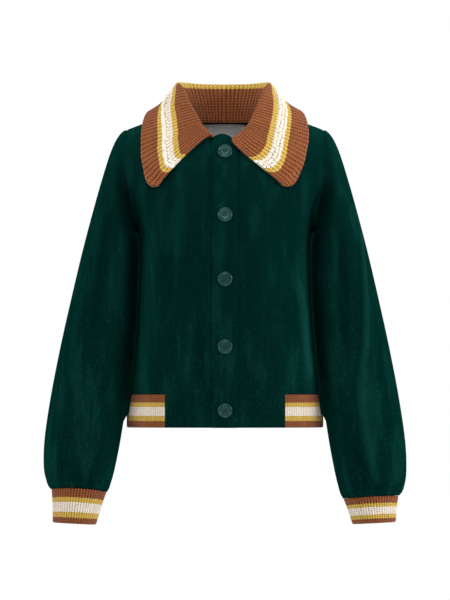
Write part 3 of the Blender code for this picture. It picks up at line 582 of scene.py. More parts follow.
def plush(name):
    """Short green pile, brushed down: bands where it opens and fine flecks along them,
    painted light where it faces up and on a fold's crest, painted shade in a fold's trough,
    a painted highlight just before the body's side, and painted shade beyond it where a
    sleeve lies against the body."""
    finish = Finish(name, 0.7, Sheen_Weight=0.08, Sheen_Roughness=0.35,
                    Sheen_Tint=(0.0, 0.55, 0.42, 1.0), Specular_IOR_Level=0.0)

    def eased(value, low, high):
        return finish.node("ShaderNodeMapRange", {"interpolation_type": "SMOOTHSTEP"}, {
            "Value": value, "From Min": low, "From Max": high})

    def faded(value, low, high):
        return 1.0 - eased(value, low, high)

    def marks(scale, detail):
        return finish.noise(finish.place(scale), 1.0, detail)

    bands = eased(marks(BAND_SCALE, 3.0), 0.46, 0.68)
    flecks = eased(marks(FLECK_SCALE, 2.0), 0.46, 0.72)
    specks = eased(marks(SPECK_SCALE, 2.0), 0.56, 0.68)
    grain = marks(GRAIN_SCALE, 2.0)
    across, height = finish.spot().part(0).apply("ABSOLUTE"), finish.spot().part(2)
    low = faded(height, -0.40, -0.20)
    # painted light: the pile is drawn lighter where its surface faces up
    upward = eased(finish.node("ShaderNodeNewGeometry", {}, {}, 1).part(2), 0.1, 0.9)
    # how high the point stands on a fold, which sets a painted highlight on crests and painted
    # shade in troughs
    fold = finish.node("ShaderNodeUVMap", {"uv_map": "nap"}, {}).part(0)

    # lighter pile on open bands; painted light on what faces up, a painted highlight on a fold's
    # crest, and painted shade in its trough
    tone_and_painted_light = bands * 0.22 + flecks * (bands * (0.45 + low * 0.35) + 0.12) + grain * 0.4
    tone_and_painted_light = tone_and_painted_light + upward * 0.30 + specks * (0.22 + low * 0.35) - 0.16
    tone_and_painted_light = tone_and_painted_light + eased(fold, 1.2, 6.0) * (0.45 + flecks * 0.3) - faded(fold, -3.0, -0.4) * 0.12

    # a painted highlight just before the body's side, and painted shade beyond it, where the
    # sleeve lies against the body
    below, above = (WAIST_Z - height).apply("MAXIMUM"), (height - WAIST_Z).apply("MAXIMUM")
    beyond = across - (below * below * WIDER_BELOW + above * WIDER_ABOVE + WAIST_X)
    painted_side_highlight = eased(beyond, -0.030, -0.006) * faded(beyond, -0.006, -0.001)
    painted_side_highlight = painted_side_highlight * faded(height, -0.24, -0.18)
    colour = finish.mixed(tone_and_painted_light + painted_side_highlight * (0.25 + specks * 0.6), PLUSH_DEEP, PLUSH_LIT)
    # painted shade where a sleeve lies against the body's side, fading out near the underarm and
    # near the hem
    painted_crevice_shade = faded(beyond, 0.006, 0.028) * eased(beyond, -0.001, 0.0015)
    painted_crevice_shade = painted_crevice_shade * faded(height, -0.16, -0.09) * eased(height, -0.53, -0.40)
    colour = finish.mixed(painted_crevice_shade * 0.92, colour, PLUSH_PAINTED_SHADE)
    return finish.show(colour, flecks + grain + bands, 0.8, 0.0022)


def backing(name):
    """The smooth knitted back of the plush."""
    finish = Finish(name, 0.85, Sheen_Weight=0.1)
    loops = finish.node("ShaderNodeTexWave", {"wave_type": "BANDS", "bands_direction": "X"}, {
        "Vector": finish.place(), "Scale": 160.0, "Distortion": 1.5,
        "Detail": 1.0, "Detail Scale": 2.0}, 1)
    colour = finish.mixed(loops, (0.001, 0.010, 0.007, 1.0), (0.003, 0.022, 0.016, 1.0))
    return finish.show(colour, loops, 0.4, 0.0006)


floor_finish = Finish("pale_floor", 0.9)
floor.data.materials.append(floor_finish.show((0.86, 0.86, 0.86, 1.0)))

PLUSH = plush("plush_pile")
BACKING = backing("plush_backing")


def front(name, side, edge_x):
    """A front: its upper part, and the plain foot beside the placket."""
    angles = []
    for row in PANEL_ROWS:
        start_x = side * float(neck_x(row)) if row > NECK_FRONT_ROW - TINY else edge_x
        start = float(angle_at(start_x, row))
        middle = float(angle_at(side * RIB_END_X, row))
        angles.append(spread(start, middle, side * side_angle(row)))
    upper = body_patch(angles, PANEL_ROWS)
    angles = []
    for row in FOOT_ROWS:
        start, end = float(angle_at(edge_x, row)), float(angle_at(side * RIB_END_X, row))
        angles.append(np.linspace(start, end, FOOT_COLUMNS))
    foot = body_patch(angles, FOOT_ROWS)
    for values, above in zip(foot, upper):
        values[-1] = above[0, :FOOT_COLUMNS]
    return cloth(name, [upper, foot], PLUSH_WALL, [PLUSH, BACKING])


front_right = front("front_right_plush", -1.0, UNDERLAP_X - SEAM_GAP)
front_left = front("front_left_plush", 1.0, UNDERLAP_X)
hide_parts("front_right")
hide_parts("front_left")


# ---------------------------------------------------------------------------------------
# The back is one plush panel from side seam to side seam, cut out for the neck and for
# both armholes, and sewn to the fronts and to the ribbed waistband below it.
def back_half(side):
    angles = []
    for row in PANEL_ROWS:
        start_x = float(neck_x(row, back=True)) if row > NECK_BACK_ROW + TINY else 0.0
        start = float(angle_at(start_x, row))
        half = spread(start, float(angle_at(RIB_END_X, row)), side_angle(row))
        angles.append(half if side > 0.0 else -half[::-1])
    return body_patch(angles, PANEL_ROWS, back=True)


back = cloth("back_plush", [back_half(-1.0), back_half(1.0)], PLUSH_WALL, [PLUSH, BACKING])
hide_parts("back")


# ---------------------------------------------------------------------------------------
# The placket is a doubled band of the same plush over both front edges, with its top
# corner rounded off under the collar. The buttons are sewn along its middle.
PLACKET_LEFT_X = -21.0
PLACKET_RIGHT_X = 20.0
PLACKET_PEAK_X = -5.0
PLACKET_PEAK_Z = -45.0
PLACKET_CORNER_DROP = 15.0
PLACKET_CORNER_RUN = 25.0
PLACKET_GAP = 0.6
PLACKET_EDGE_DEPTH = 1.3
PLACKET_EDGE_RUN = 2.5


def placket_peak(x):
    away = (x - PLACKET_PEAK_X) / PLACKET_CORNER_RUN
    return PLACKET_PEAK_Z - PLACKET_CORNER_DROP * away ** 2


across = eased_steps(PLACKET_LEFT_X, PLACKET_RIGHT_X, 16)
body_rows = np.concatenate([FOOT_ROWS[:-1], PANEL_ROWS[PANEL_ROWS < NECK_FRONT_ROW - 0.3]])
placket_rows = np.repeat(body_rows[:, None], len(across), axis=1)
placket_rows = np.vstack([placket_rows, row_at(placket_peak(across))])
placket_x = np.broadcast_to(across, placket_rows.shape)
placket_angle = angle_at(placket_x, placket_rows)
placket_normals = torso_normal(placket_angle, placket_rows)
placket_points = torso(placket_angle, placket_rows)
placket_edge = np.minimum(placket_x - PLACKET_LEFT_X, PLACKET_RIGHT_X - placket_x)
thinned = PLACKET_EDGE_DEPTH * np.exp(-(placket_edge / PLACKET_EDGE_RUN) ** 2)
placket_folds = folded(placket_points[..., 0], placket_points[..., 2], FRONT_FOLDS)
placket_lift = PLACKET_GAP + PLUSH_WALL - thinned + placket_folds
placket_points = placket_points + placket_lift[..., None] * placket_normals
placket_patch = (placket_points, placket_normals, placket_lift - PLACKET_GAP - PLUSH_WALL)
placket = cloth("placket_plush", [placket_patch], PLUSH_WALL - 1.0, [PLUSH, PLUSH])
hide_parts("placket")


# ---------------------------------------------------------------------------------------
# Each sleeve is one tube of plush, set into its armhole with a dropped shoulder, full
# at the forearm and gathered into its cuff.
GATHER_DEPTH = 2.4
# the last of the gathers turns in, into the cuff
CUFF_TURN_IN = 1.5
TURN_IN_STEP = 10.4
HELD_STEP = 10.9
# a ring whose normals tell which way is out
MIDDLE_RING = 60
CUFF_ARCH = {"right": 7.0, "left": 3.5}
SEAM_RUN = 8.0
SLEEVE_CLEARANCE = 1.2
# where a sleeve lies against the body's side, how near to it, and how far out it is drawn in
CONTACT = 0.4
HELD_TOP_Z = -203.0
HELD_BOTTOM_Z = -518.0
LOOSER_BELOW_Z = -455.0
TIGHTER_ABOVE_Z = -238.0
CONTACT_REACH = 40.0
# outer x, outer z; inner x, inner z; middle y; half depth
SLEEVE = np.array([
    (163.0, -35.5, 143.5, -214.5, 0.0, 58.0),
    (186.0, -63.0, 148.5, -213.5, -2.0, 64.0),
    (203.0, -118.0, 146.0, -221.0, -6.0, 67.0),
    (219.0, -175.0, 143.5, -246.0, -10.0, 67.0),
    (236.0, -240.0, 143.5, -290.0, -13.0, 66.0),
    (254.0, -316.0, 146.5, -347.0, -15.0, 65.0),
    (271.0, -392.0, 151.5, -412.0, -16.0, 64.0),
    (286.0, -468.0, 161.5, -480.0, -17.0, 63.0),
    (297.0, -540.0, 172.0, -546.0, -18.0, 61.0),
    (299.5, -590.0, 181.0, -594.0, -18.0, 57.0),
    (295.5, -616.0, 187.0, -620.0, -18.0, 50.0),
    (288.0, -631.0, 193.5, -636.0, -18.0, 43.0),
])
LAST_STEP = 11.0
PLEATS = 19
RING_STEPS = np.concatenate([np.linspace(0.0, 2.0, 31), np.linspace(2.0, 8.0, 67)[1:],
                             np.linspace(8.0, LAST_STEP, 31)[1:]])

# Folds round a sleeve: width, height, then the path by turn (0 outer, 90 front, 180
# inner, in degrees, each about a millimetre) and by step down the sleeve.
STEP_LENGTH = 75.0
SLEEVE_FOLDS = {
    "right": (
        (8.0, 3.2, ((30.0, 2.4), (42.0, 3.4), (50.0, 4.8), (54.0, 6.0))),
        (11.0, -2.6, ((72.0, 2.6), (76.0, 4.0), (80.0, 5.8))),
        (12.0, 2.0, ((104.0, 2.6), (100.0, 4.6), (98.0, 7.4))),
        (10.0, -2.4, ((132.0, 3.0), (128.0, 5.0), (124.0, 7.6))),
        (8.0, 2.2, ((56.0, 6.8), (60.0, 8.0), (52.0, 9.6))),
        (6.0, -2.6, ((66.0, 8.6), (64.0, 9.6), (62.0, 10.8))),
        (6.0, -2.2, ((112.0, 8.2), (108.0, 9.4), (104.0, 10.6))),
        (12.0, 2.4, ((236.0, 2.0), (246.0, 4.4), (250.0, 7.0))),
        (11.0, -2.2, ((290.0, 2.0), (296.0, 5.0), (302.0, 8.0))),
        (10.0, 2.2, ((330.0, 3.6), (326.0, 6.0), (322.0, 9.0))),
    ),
    "left": (
        (7.5, 6.2, ((22.0, 3.0), (48.0, 4.4), (67.0, 5.6), (88.0, 6.8), (90.0, 8.1),
                    (86.0, 9.6))),
        (11.0, -3.0, ((80.0, 3.0), (92.0, 4.6), (106.0, 6.4))),
        (11.0, -2.4, ((30.0, 5.0), (48.0, 6.4), (58.0, 8.2))),
        (11.0, 2.0, ((122.0, 3.4), (126.0, 5.4), (124.0, 8.4))),
        (7.0, -2.6, ((104.0, 8.0), (100.0, 9.2), (98.0, 10.6))),
        (6.0, 2.4, ((72.0, 8.8), (66.0, 9.8), (60.0, 10.8))),
        (12.0, 2.2, ((238.0, 2.0), (250.0, 4.4), (252.0, 7.0))),
        (11.0, -2.4, ((294.0, 2.0), (288.0, 5.0), (284.0, 8.0))),
        (10.0, 2.0, ((324.0, 3.6), (330.0, 6.0), (334.0, 9.0))),
    ),
}


def armhole_ring():
    """Points and normals round an armhole: shoulder tip, front, underarm, back."""
    points, normals = [], []
    for shares, is_back in ((SHARES[::-1], False), (SHARES[1:-1], True)):
        angle, row = armhole_angle(shares), armhole_row(shares)
        points.append(torso(angle, row, is_back))
        normals.append(torso_normal(angle, row, is_back))
    return np.concatenate(points), np.concatenate(normals)


def body_side_x(y, z):
    """How far out the body's side reaches, at a depth and a height below the underarm."""
    half_width, front_depth, back_depth = np.moveaxis(along(TORSO, row_at(z)), -1, 0)[1:]
    ratio = np.clip(np.abs(y) / np.where(y < 0.0, front_depth, back_depth), 0.0, 1.0)
    return half_width * (1.0 - ratio ** ROUNDNESS) ** (1.0 / ROUNDNESS)


def gathers(turn, step, seed):
    """Uneven pleats that fade out above the cuff, some sooner than others."""
    random = np.random.default_rng(seed)
    height = np.zeros(np.shape(turn * step))
    for k in range(PLEATS):
        middle = FULL_TURN * (k + random.uniform(-0.3, 0.3)) / PLEATS
        reach = random.uniform(1.1, 3.0)
        width = random.uniform(0.09, 0.15)
        away = (turn - middle + math.pi) % FULL_TURN - math.pi
        height += smooth_step((step - LAST_STEP + reach) / reach) * np.exp(-(away / width) ** 2)
    return (height - 0.75) * GATHER_DEPTH * smooth_step((step - LAST_STEP + 3.0) / 3.0)


def arched(name, turn):
    """How much higher a cuff's seam lies, most at the front of the wrist."""
    return CUFF_ARCH[name] * (0.3 + 0.7 * np.maximum(np.sin(turn), 0.0))


def turns_of(count):
    """Evenly spaced angles round a full turn."""
    return FULL_TURN * np.arange(count) / count


def rounded_turn(value):
    """A sine or cosine made a little fuller, so a ring is nearly an ellipse."""
    return np.sign(value) * np.abs(value) ** 0.9


def against_body(points):
    """How far each point moves in x, to lie against the body's side where it is near."""
    x, y, z = np.moveaxis(points, -1, 0)
    gap = x - body_side_x(y, z)
    held = smooth_step((HELD_TOP_Z - z) / 6.0) * smooth_step((z - HELD_BOTTOM_Z) / 16.0)
    contact = CONTACT + 0.3 * smooth_step((LOOSER_BELOW_Z - z) / 14.0)
    contact -= 0.25 * smooth_step((z - TIGHTER_ABOVE_Z) / 12.0)
    near = gap * smooth_step((gap - 6.0) / 22.0) + contact
    return held * (near - gap) * (gap < CONTACT_REACH)


def sleeve_rings(name, drop, seed):
    """The sleeve's outer surface on the +X side, ring by ring, its normals and its folds."""
    start, start_normals = armhole_ring()
    turn = turns_of(len(start))
    ahead = np.roll(start, -1, axis=0) - np.roll(start, 1, axis=0)
    away = unit(np.cross(ahead, start_normals))
    away *= np.sign(away[0, 0])
    rings = []
    for step in RING_STEPS:
        outer_x, outer_z, inner_x, inner_z, centre_y, half_depth = along(SLEEVE, np.array(step))
        lower = drop * smooth_step((step - 3.0) / 8.0)
        centre = np.array([(outer_x + inner_x) / 2.0, centre_y, (outer_z + inner_z) / 2.0 + lower])
        reach = np.array([(outer_x - inner_x) / 2.0, 0.0, (outer_z - inner_z) / 2.0])
        ring = centre + rounded_turn(np.cos(turn))[:, None] * reach
        ring[:, 1] -= rounded_turn(np.sin(turn)) * half_depth
        ring[:, 2] += arched(name, turn) * smooth_step((step - LAST_STEP + 2.0) / 2.0)
        share = smooth_step(step / 2.2)
        leaving = start + (SEAM_GAP + SEAM_RUN * step) * away
        ring = (1.0 - share) * leaving + share * ring
        beside = ring[:, 2] < TORSO[int(ARMPIT_ROW), 0] + 8.0
        clear = body_side_x(ring[:, 1], ring[:, 2]) + SLEEVE_CLEARANCE
        ring[:, 0] = np.where(beside, np.maximum(ring[:, 0], clear), ring[:, 0])
        rings.append(ring)
    rings = np.array(rings)
    around = np.roll(rings, -1, axis=1) - np.roll(rings, 1, axis=1)
    normals = unit(np.cross(around, np.gradient(rings, axis=0)))
    normals *= np.sign(normals[MIDDLE_RING, 0, 0])
    normals[0] = start_normals
    turns, steps = np.meshgrid(np.degrees(turn), RING_STEPS)
    down_sleeve = np.array([1.0, STEP_LENGTH])
    folds = [(width, rise, path * down_sleeve) for width, rise, path in SLEEVE_FOLDS[name]]
    lift = folded(turns, steps * STEP_LENGTH, folds) * smooth_step(steps / 1.5)
    lift += seam_dip(np.linalg.norm(rings - rings[:1], axis=-1))
    turned_in = CUFF_TURN_IN * smooth_step((steps - TURN_IN_STEP) / (LAST_STEP - TURN_IN_STEP))
    lift += gathers(turn[None, :], steps, seed) - turned_in
    lift *= np.where(steps > HELD_STEP, 0.5, 1.0)
    rings = rings + lift[..., None] * normals
    rings[..., 0] += against_body(rings)
    return rings, normals, lift


def walled(name, outer, inner, materials, maps, map_name="knit", closed=True):
    """A wall between two grids, the inner one with fewer rows: a tube, or an open band."""
    rows, columns = outer.shape[:2]
    inner_rows = len(inner)
    first = rows * columns
    faces = grid_faces(rows, columns, 0, closed)
    for row, inner_row in ((0, 0), (rows - 1, inner_rows - 1)):
        low, high = row * columns, first + inner_row * columns
        for k in range(columns if closed else columns - 1):
            beside = (k + 1) % columns
            faces.append((low + k, low + beside, high + beside, high + k))
    ratio = (rows - 1) // (inner_rows - 1)
    for column in () if closed else (0, columns - 1):
        for k in range(inner_rows - 1):
            run = [(k * ratio + j) * columns + column for j in range(ratio + 1)]
            inner_run = [first + (k + 1) * columns + column, first + k * columns + column]
            faces.append(tuple(run + inner_run))
    inner_from = len(faces)
    faces += [face[::-1] for face in grid_faces(inner_rows, columns, first, closed)]
    points = np.concatenate([outer.reshape(-1, 3), inner.reshape(-1, 3)])
    return finished(name, points, faces, materials, inner_from, maps, map_name)


for name, side, drop, seed in (("right", -1.0, 0.0, 3), ("left", 1.0, -10.0, 8)):
    rings, normals, lift = sleeve_rings(name, drop, seed)
    mirror = np.array([side, 1.0, 1.0])
    inner = (rings - PLUSH_WALL * normals)[::2] * mirror
    nap = fold_height_map(np.concatenate([lift.ravel(), lift[::2].ravel()]))
    sleeve = walled(f"sleeve_{name}_plush", rings * mirror, inner, [PLUSH, BACKING], nap, "nap")
    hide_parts(f"sleeve_{name}")


# ---------------------------------------------------------------------------------------
# The waistband is a doubled band of rib knit with three colours of yarn, sewn under the
# back and the outer part of each front. Its ribs stand up and down.
RIB_WALL = 4.0
RIB_PITCH = 3.5
RIB_HEIGHT = 1.2
STITCH = 3.3
KNIT_BROWN = (0.315, 0.098, 0.031, 1.0)
KNIT_YELLOW = (0.70, 0.475, 0.09, 1.0)
KNIT_WHITE = (0.88, 0.80, 0.685, 1.0)
# how strongly painted shade darkens the hollows between the stitches of each yarn
YARN_PAINTED_SHADE = {KNIT_BROWN: 1.0, KNIT_YELLOW: 0.75, KNIT_WHITE: 0.58}
WOOLLY = {"Sheen_Weight": 0.2, "Sheen_Roughness": 0.4, "Specular_IOR_Level": 0.15}
# the uneven line between two stripes, in metres
STRIPE_WANDER = 0.0016
LAST_STRIPE = 0.05


def yarn(name, stripes, stitch, dimness):
    """Rib knit of fuzzy yarn, with painted shade in its hollows; stripes are (from, colour) down
    the map's second axis.
    """
    finish = Finish(name, 0.9, **WOOLLY)
    knit = finish.node("ShaderNodeUVMap", {"uv_map": "knit"}, {})
    rib, down = knit.part(0), knit.part(1)
    fuzz = finish.noise(finish.place(), 800.0, 2.0)
    wander = (finish.noise(finish.place(), 160.0, 1.0) - 0.5) * STRIPE_WANDER
    longest = stripes[-1][0] + LAST_STRIPE

    def striped(colours):
        stops = tuple((start / longest, shown) for (start, _), shown in zip(stripes, colours))
        return finish.node("ShaderNodeValToRGB", {"interpolation": "CONSTANT", "stops": stops}, {
            "Fac": (down + wander) / longest})

    colour = striped([shown for _, shown in stripes])
    strength = striped([(YARN_PAINTED_SHADE[shown],) * 3 + (1.0,) for _, shown in stripes])
    off_crest = (rib + 0.5).apply("PINGPONG", 0.5)
    loop = (down * (1.0 / (MM * stitch)) - off_crest * 1.1).apply("PINGPONG", 0.5)
    valley = (off_crest * 2.0).apply("POWER", 2.5)
    between = (1.0 - loop * 2.0).apply("POWER", 3.0)
    uneven = finish.noise(finish.place(), 75.0, 2.0) * 1.3 + 0.2
    # painted shade in the ribs' valleys and between the stitches, with random fuzz; dimness
    # darkens the whole knit evenly
    painted_hollow_shade_and_fuzz = valley * uneven * 0.80 + between * 0.58 + fuzz * 0.75 - 0.36
    painted_hollow_shade_and_fuzz = painted_hollow_shade_and_fuzz * strength * 1.12 + dimness
    shade = finish.mixed(painted_hollow_shade_and_fuzz, (1.0, 1.0, 1.0, 1.0), (0.20, 0.14, 0.11, 1.0))
    deep = finish.mixed(1.0, colour, shade, "MULTIPLY")
    return finish.show(deep, loop * 2.0 + fuzz * 0.8, 0.7, 0.0010)


BAND_STRIPES = (
    (0.0, KNIT_BROWN),
    (0.0133, KNIT_YELLOW),
    (0.0205, KNIT_WHITE),
    (0.0352, KNIT_YELLOW),
    (0.0437, KNIT_BROWN),
)


def stitched(rib, down, stitch):
    """The relief of rib knit, 0 in a valley to 1 on a crest: each rib a column of Vs."""
    place = (rib % 1.0) - 0.5
    crest = np.clip(np.cos(math.pi * place), 0.0, 1.0) ** 0.8
    lean = down / stitch - 0.9 * np.abs(place)
    return crest * (0.80 + 0.20 * np.cos(FULL_TURN * lean))


def rounded_off(from_edge, depth, reach):
    """How much lower the knit lies near its edge, in mm."""
    return -depth * np.clip(1.0 - from_edge / reach, 0.0, 1.0) ** 2


def measured(points):
    """How far along a line each of its points lies."""
    steps = np.linalg.norm(np.diff(points, axis=0), axis=1)
    return np.concatenate([[0.0], np.cumsum(steps)])


def at_length(points, lengths, place):
    """Points or directions at places along a line."""
    return np.stack([np.interp(place, lengths, points[:, k]) for k in range(3)], axis=-1)


RIB_COLUMNS = 6
BAND_EDGE = (1.6, 2.4)
BAND_PROUD = 0.4
waist_top = RIB_TOP_Z - SEAM_GAP
WAIST_HEIGHTS = np.linspace(HEM_Z, waist_top, 49)


def waist_ring(count, height):
    """Points and normals round the waistband at a height, evenly spaced on its girth."""
    row = float(row_at(height))
    end = float(angle_at(RIB_END_X + SEAM_GAP, row))
    fine = np.linspace(end, math.pi, 800)
    behind = fine > QUARTER
    fold = np.where(behind, math.pi - fine, fine)
    flip = np.array([-1.0, 1.0, 1.0])
    lines = []
    for surface in (torso, torso_normal):
        half = np.where(behind[:, None], surface(fold, row, True), surface(fold, row))
        lines.append(np.concatenate([half, half[::-1][1:] * flip]))
    length = measured(lines[0])
    wanted = np.linspace(0.0, length[-1], count)
    points, outwards = (at_length(line, length, wanted) for line in lines)
    return points, unit(outwards), length[-1]


waist_ribs = int(waist_ring(3, HEM_Z)[2] / RIB_PITCH)
waist_columns = RIB_COLUMNS * waist_ribs + 1
rings = [waist_ring(waist_columns, height) for height in WAIST_HEIGHTS]
waist_points = np.array([ring[0] for ring in rings])
waist_normals = np.array([ring[1] for ring in rings])
waist_rib, waist_down = np.meshgrid(np.linspace(0.0, waist_ribs, waist_columns),
                                    waist_top - WAIST_HEIGHTS)
rounding = rounded_off(np.minimum(waist_down, WAIST_HEIGHTS[:, None] - HEM_Z), *BAND_EDGE)
sunk = RIB_HEIGHT * (1.0 - stitched(waist_rib, waist_down, STITCH))
waist_lift = BAND_PROUD - sunk + rounding
outer = waist_points + waist_lift[..., None] * waist_normals
inner = (waist_points - (RIB_WALL - BAND_PROUD) * waist_normals)[::8]


def chart(rib, down, inner_rows):
    """The map of a knitted wall: rib number, and metres down from its reference edge."""
    outer_map = np.stack([rib, down * MM], axis=-1)
    picked = outer_map[np.linspace(0, len(rib) - 1, inner_rows).astype(int)]
    return np.concatenate([outer_map.reshape(-1, 2), picked.reshape(-1, 2)])


BAND_KNIT = yarn("band_rib_knit", BAND_STRIPES, STITCH, 0.12)
waistband = walled("waistband_knit", outer, inner, [BAND_KNIT, BAND_KNIT],
                   chart(waist_rib, waist_down, len(inner)), closed=False)
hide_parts("waistband_rib")


# ---------------------------------------------------------------------------------------
# Each cuff is a doubled tube of the same rib knit, narrower towards the hand, sewn to
# the gathered end of its sleeve.
CUFF_RIBS = 56
CUFFS = (
    # name, side, drop, lean, length, end half width, end half depth
    ("right", -1.0, 0.0, 5.0, 52.0, 36.0, 36.0),
    ("left", 1.0, -10.0, 3.0, 41.0, 36.0, 36.0),
)
CUFF_SHARES = np.linspace(0.0, 1.0, 46)
CUFF_STRIPED = 53.0
CUFF_DRAWN_IN = 1.5


def cuff_ring(name, turn, share, lift, drop, lean, length, end_half_width, end_half_depth):
    """A ring of points, share of the way from the sleeve's end to the cuff's."""
    outer_x, outer_z, inner_x, inner_z, centre_y, half_depth = SLEEVE[-1]
    reach = np.array([outer_x - inner_x, 0.0, outer_z - inner_z])
    half_width = np.linalg.norm(reach) / 2.0 - CUFF_DRAWN_IN
    half_depth -= CUFF_DRAWN_IN
    reach = unit(reach)
    down = np.array([reach[2], 0.0, -reach[0]])
    top = np.array([(outer_x + inner_x) / 2.0, centre_y, (outer_z + inner_z) / 2.0 + drop])
    middle = top + down * (1.2 * SEAM_GAP + share * length) + reach * lean * share
    narrowed = share ** 0.8
    wide = half_width + (end_half_width - half_width) * narrowed + lift
    deep = half_depth + (end_half_depth - half_depth) * narrowed + lift
    points = middle + (np.cos(turn) * wide)[:, None] * reach
    points[:, 1] -= np.sin(turn) * deep
    points[:, 2] += arched(name, turn) * (1.0 - share)
    return points


for name, side, *shape in CUFFS:
    length = shape[2]
    turn = turns_of(RIB_COLUMNS * CUFF_RIBS)
    rib = np.arange(len(turn)) / RIB_COLUMNS + 0.5
    outer, inner = [], []
    for share in CUFF_SHARES:
        down = share * length
        rounding = rounded_off(length - down, *BAND_EDGE) - 0.5 * max(1.0 - down, 0.0)
        lift = -RIB_HEIGHT * (1.0 - stitched(rib, down, STITCH)) + rounding
        outer.append(cuff_ring(name, turn, share, lift, *shape))
    for share in CUFF_SHARES[::9]:
        inner.append(cuff_ring(name, turn, share, -RIB_WALL, *shape))
    mirror = np.array([side, 1.0, 1.0])
    ribs, downs = np.meshgrid(rib, CUFF_SHARES * CUFF_STRIPED)
    cuff = walled(f"cuff_{name}_knit", np.array(outer) * mirror, np.array(inner) * mirror,
                  [BAND_KNIT, BAND_KNIT], chart(ribs, downs, len(inner)))
    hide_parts(f"cuff_{name}")


# ---------------------------------------------------------------------------------------
# The collar is one thick band of rib knit: a stand sewn to the neck edge, a roll, and a
# wide fall with two pointed leaves, its stripes parallel to the outer edge.
COLLAR_WALL = 4.2
COLLAR_RIB_PITCH = 6.2
COLLAR_RIB_HEIGHT = 1.5
COLLAR_STITCH = 4.2
COLLAR_DEPTH = 125.0
COLLAR_START = 6.0
LEFT_TIP_SHIFT = -15.0
TIP_STATION = 0.24
LEFT_CORNER_SHIFT = (-2.0, 0.0, 1.0)
CORNER_STATION = 0.035
LEFT_ROLL_SHIFT = (-8.0, -7.5, -6.0)
ROLL_STATION = 0.14
RIGHT_BOW = 7.5
LEFT_BOW = -3.0
BOW_STATION = 0.22
COLLAR_CLEARANCE = 1.0
BACK_STRIPE_SHIFT = 7.2
RIGHT_STRIPE_SHIFT = 4.5
LEFT_STRIPE_SHIFT = 4.0
RIGHT_ROLL_OUT = 4.0
RIGHT_SWELL = 0.4
SEAM_COVER_Z = -24.5
SEAM_COVER_IN = 5.2
SEAM_COVER_FROM = 0.52
SEAM_COVER_FADE = 0.16
# station; roll x, y, z; outer edge x, y, z; how far the fall swells
COLLAR = np.array([
    (0.00, 19.5, -83.5, -46.8, 110.0, -98.0, -128.0, 14.0),
    (0.02, 22.1, -82.9, -45.5, 117.0, -96.5, -131.5, 15.0),
    (0.04, 24.7, -82.3, -44.2, 124.5, -94.0, -129.5, 16.0),
    (0.06, 27.4, -81.2, -42.1, 129.5, -91.0, -123.5, 17.0),
    (0.08, 30.2, -79.6, -39.3, 132.7, -87.0, -115.0, 17.5),
    (0.10, 33.0, -78.0, -36.5, 134.5, -82.0, -105.0, 18.0),
    (0.13, 36.0, -75.0, -33.0, 137.0, -74.0, -89.0, 19.5),
    (0.17, 40.0, -71.0, -28.0, 139.0, -61.0, -66.0, 22.0),
    (0.25, 47.5, -63.0, -13.0, 139.0, -43.0, -41.0, 26.0),
    (0.33, 54.5, -52.0, 3.0, 136.0, -15.0, -20.0, 30.0),
    (0.40, 60.5, -39.0, 19.0, 129.0, 8.0, -7.0, 32.0),
    (0.50, 67.5, -19.0, 35.0, 113.0, 32.0, -3.0, 34.0),
    (0.62, 72.5, 12.0, 41.0, 92.0, 54.0, -12.0, 34.0),
    (0.75, 63.0, 42.0, 41.5, 64.0, 73.0, -21.0, 32.0),
    (0.87, 37.0, 60.0, 39.5, 34.0, 82.0, -26.0, 30.0),
    (1.00, 0.0, 66.0, 39.0, 0.0, 85.0, -27.0, 30.0),
])


def neck_edge(side):
    """The panels' neck edge from the front end to the centre back: points and normals."""
    front_rows = UPPER_ROWS[UPPER_ROWS > NECK_FRONT_ROW - TINY]
    back_rows = UPPER_ROWS[UPPER_ROWS > NECK_BACK_ROW - TINY][::-1][1:]
    points, normals = [], []
    for rows, is_back in ((front_rows, False), (back_rows, True)):
        angles = angle_at(neck_x(rows, is_back), rows)
        points.append(torso(angles, rows, is_back))
        normals.append(torso_normal(angles, rows, is_back))
    mirror = np.array([side, 1.0, 1.0])
    return np.concatenate(points) * mirror, np.concatenate(normals) * mirror


def surface_top(x, y):
    """The height of the body's surface over a place near the neck and shoulders."""
    low, high = np.full(np.shape(x), -215.0), np.full(np.shape(x), -0.01)
    for _ in range(26):
        height = 0.5 * (low + high)
        _, half_width, front_depth, back_depth = np.moveaxis(along(TORSO, row_at(height)), -1, 0)
        depth = np.where(y < 0.0, front_depth, back_depth)
        inside = (np.abs(x) / half_width) ** ROUNDNESS + (np.abs(y) / depth) ** ROUNDNESS < 1.0
        low, high = np.where(inside, height, low), np.where(inside, high, height)
    return low - shoulder_drop(x, low)


def pushed_clear(points, clearance):
    """The points, moved off the body's surface where they are nearer than clearance."""
    points = points.copy()
    for _ in range(6):
        x, y, z = np.moveaxis(points, -1, 0)
        slope_x = surface_top(x + 0.5, y) - surface_top(x - 0.5, y)
        slope_y = surface_top(x, y + 0.5) - surface_top(x, y - 0.5)
        size = np.sqrt(1.0 + slope_x ** 2 + slope_y ** 2)
        short = np.clip(clearance - (z - surface_top(x, y)) / size, 0.0, 12.0)
        direction = np.stack([-slope_x / size, -slope_y / size, 1.0 / size], axis=-1)
        points += 0.7 * short[..., None] * direction
    return points


def hermite(start, pull, end, end_pull, shares):
    """A curve between two points that leaves and arrives along the two pulls."""
    share = shares[:, None]
    squared, cubed = share ** 2, share ** 3
    leaving = (2.0 * cubed - 3.0 * squared + 1.0) * start + (cubed - 2.0 * squared + share) * pull
    return leaving + (3.0 * squared - 2.0 * cubed) * end + (cubed - squared) * end_pull


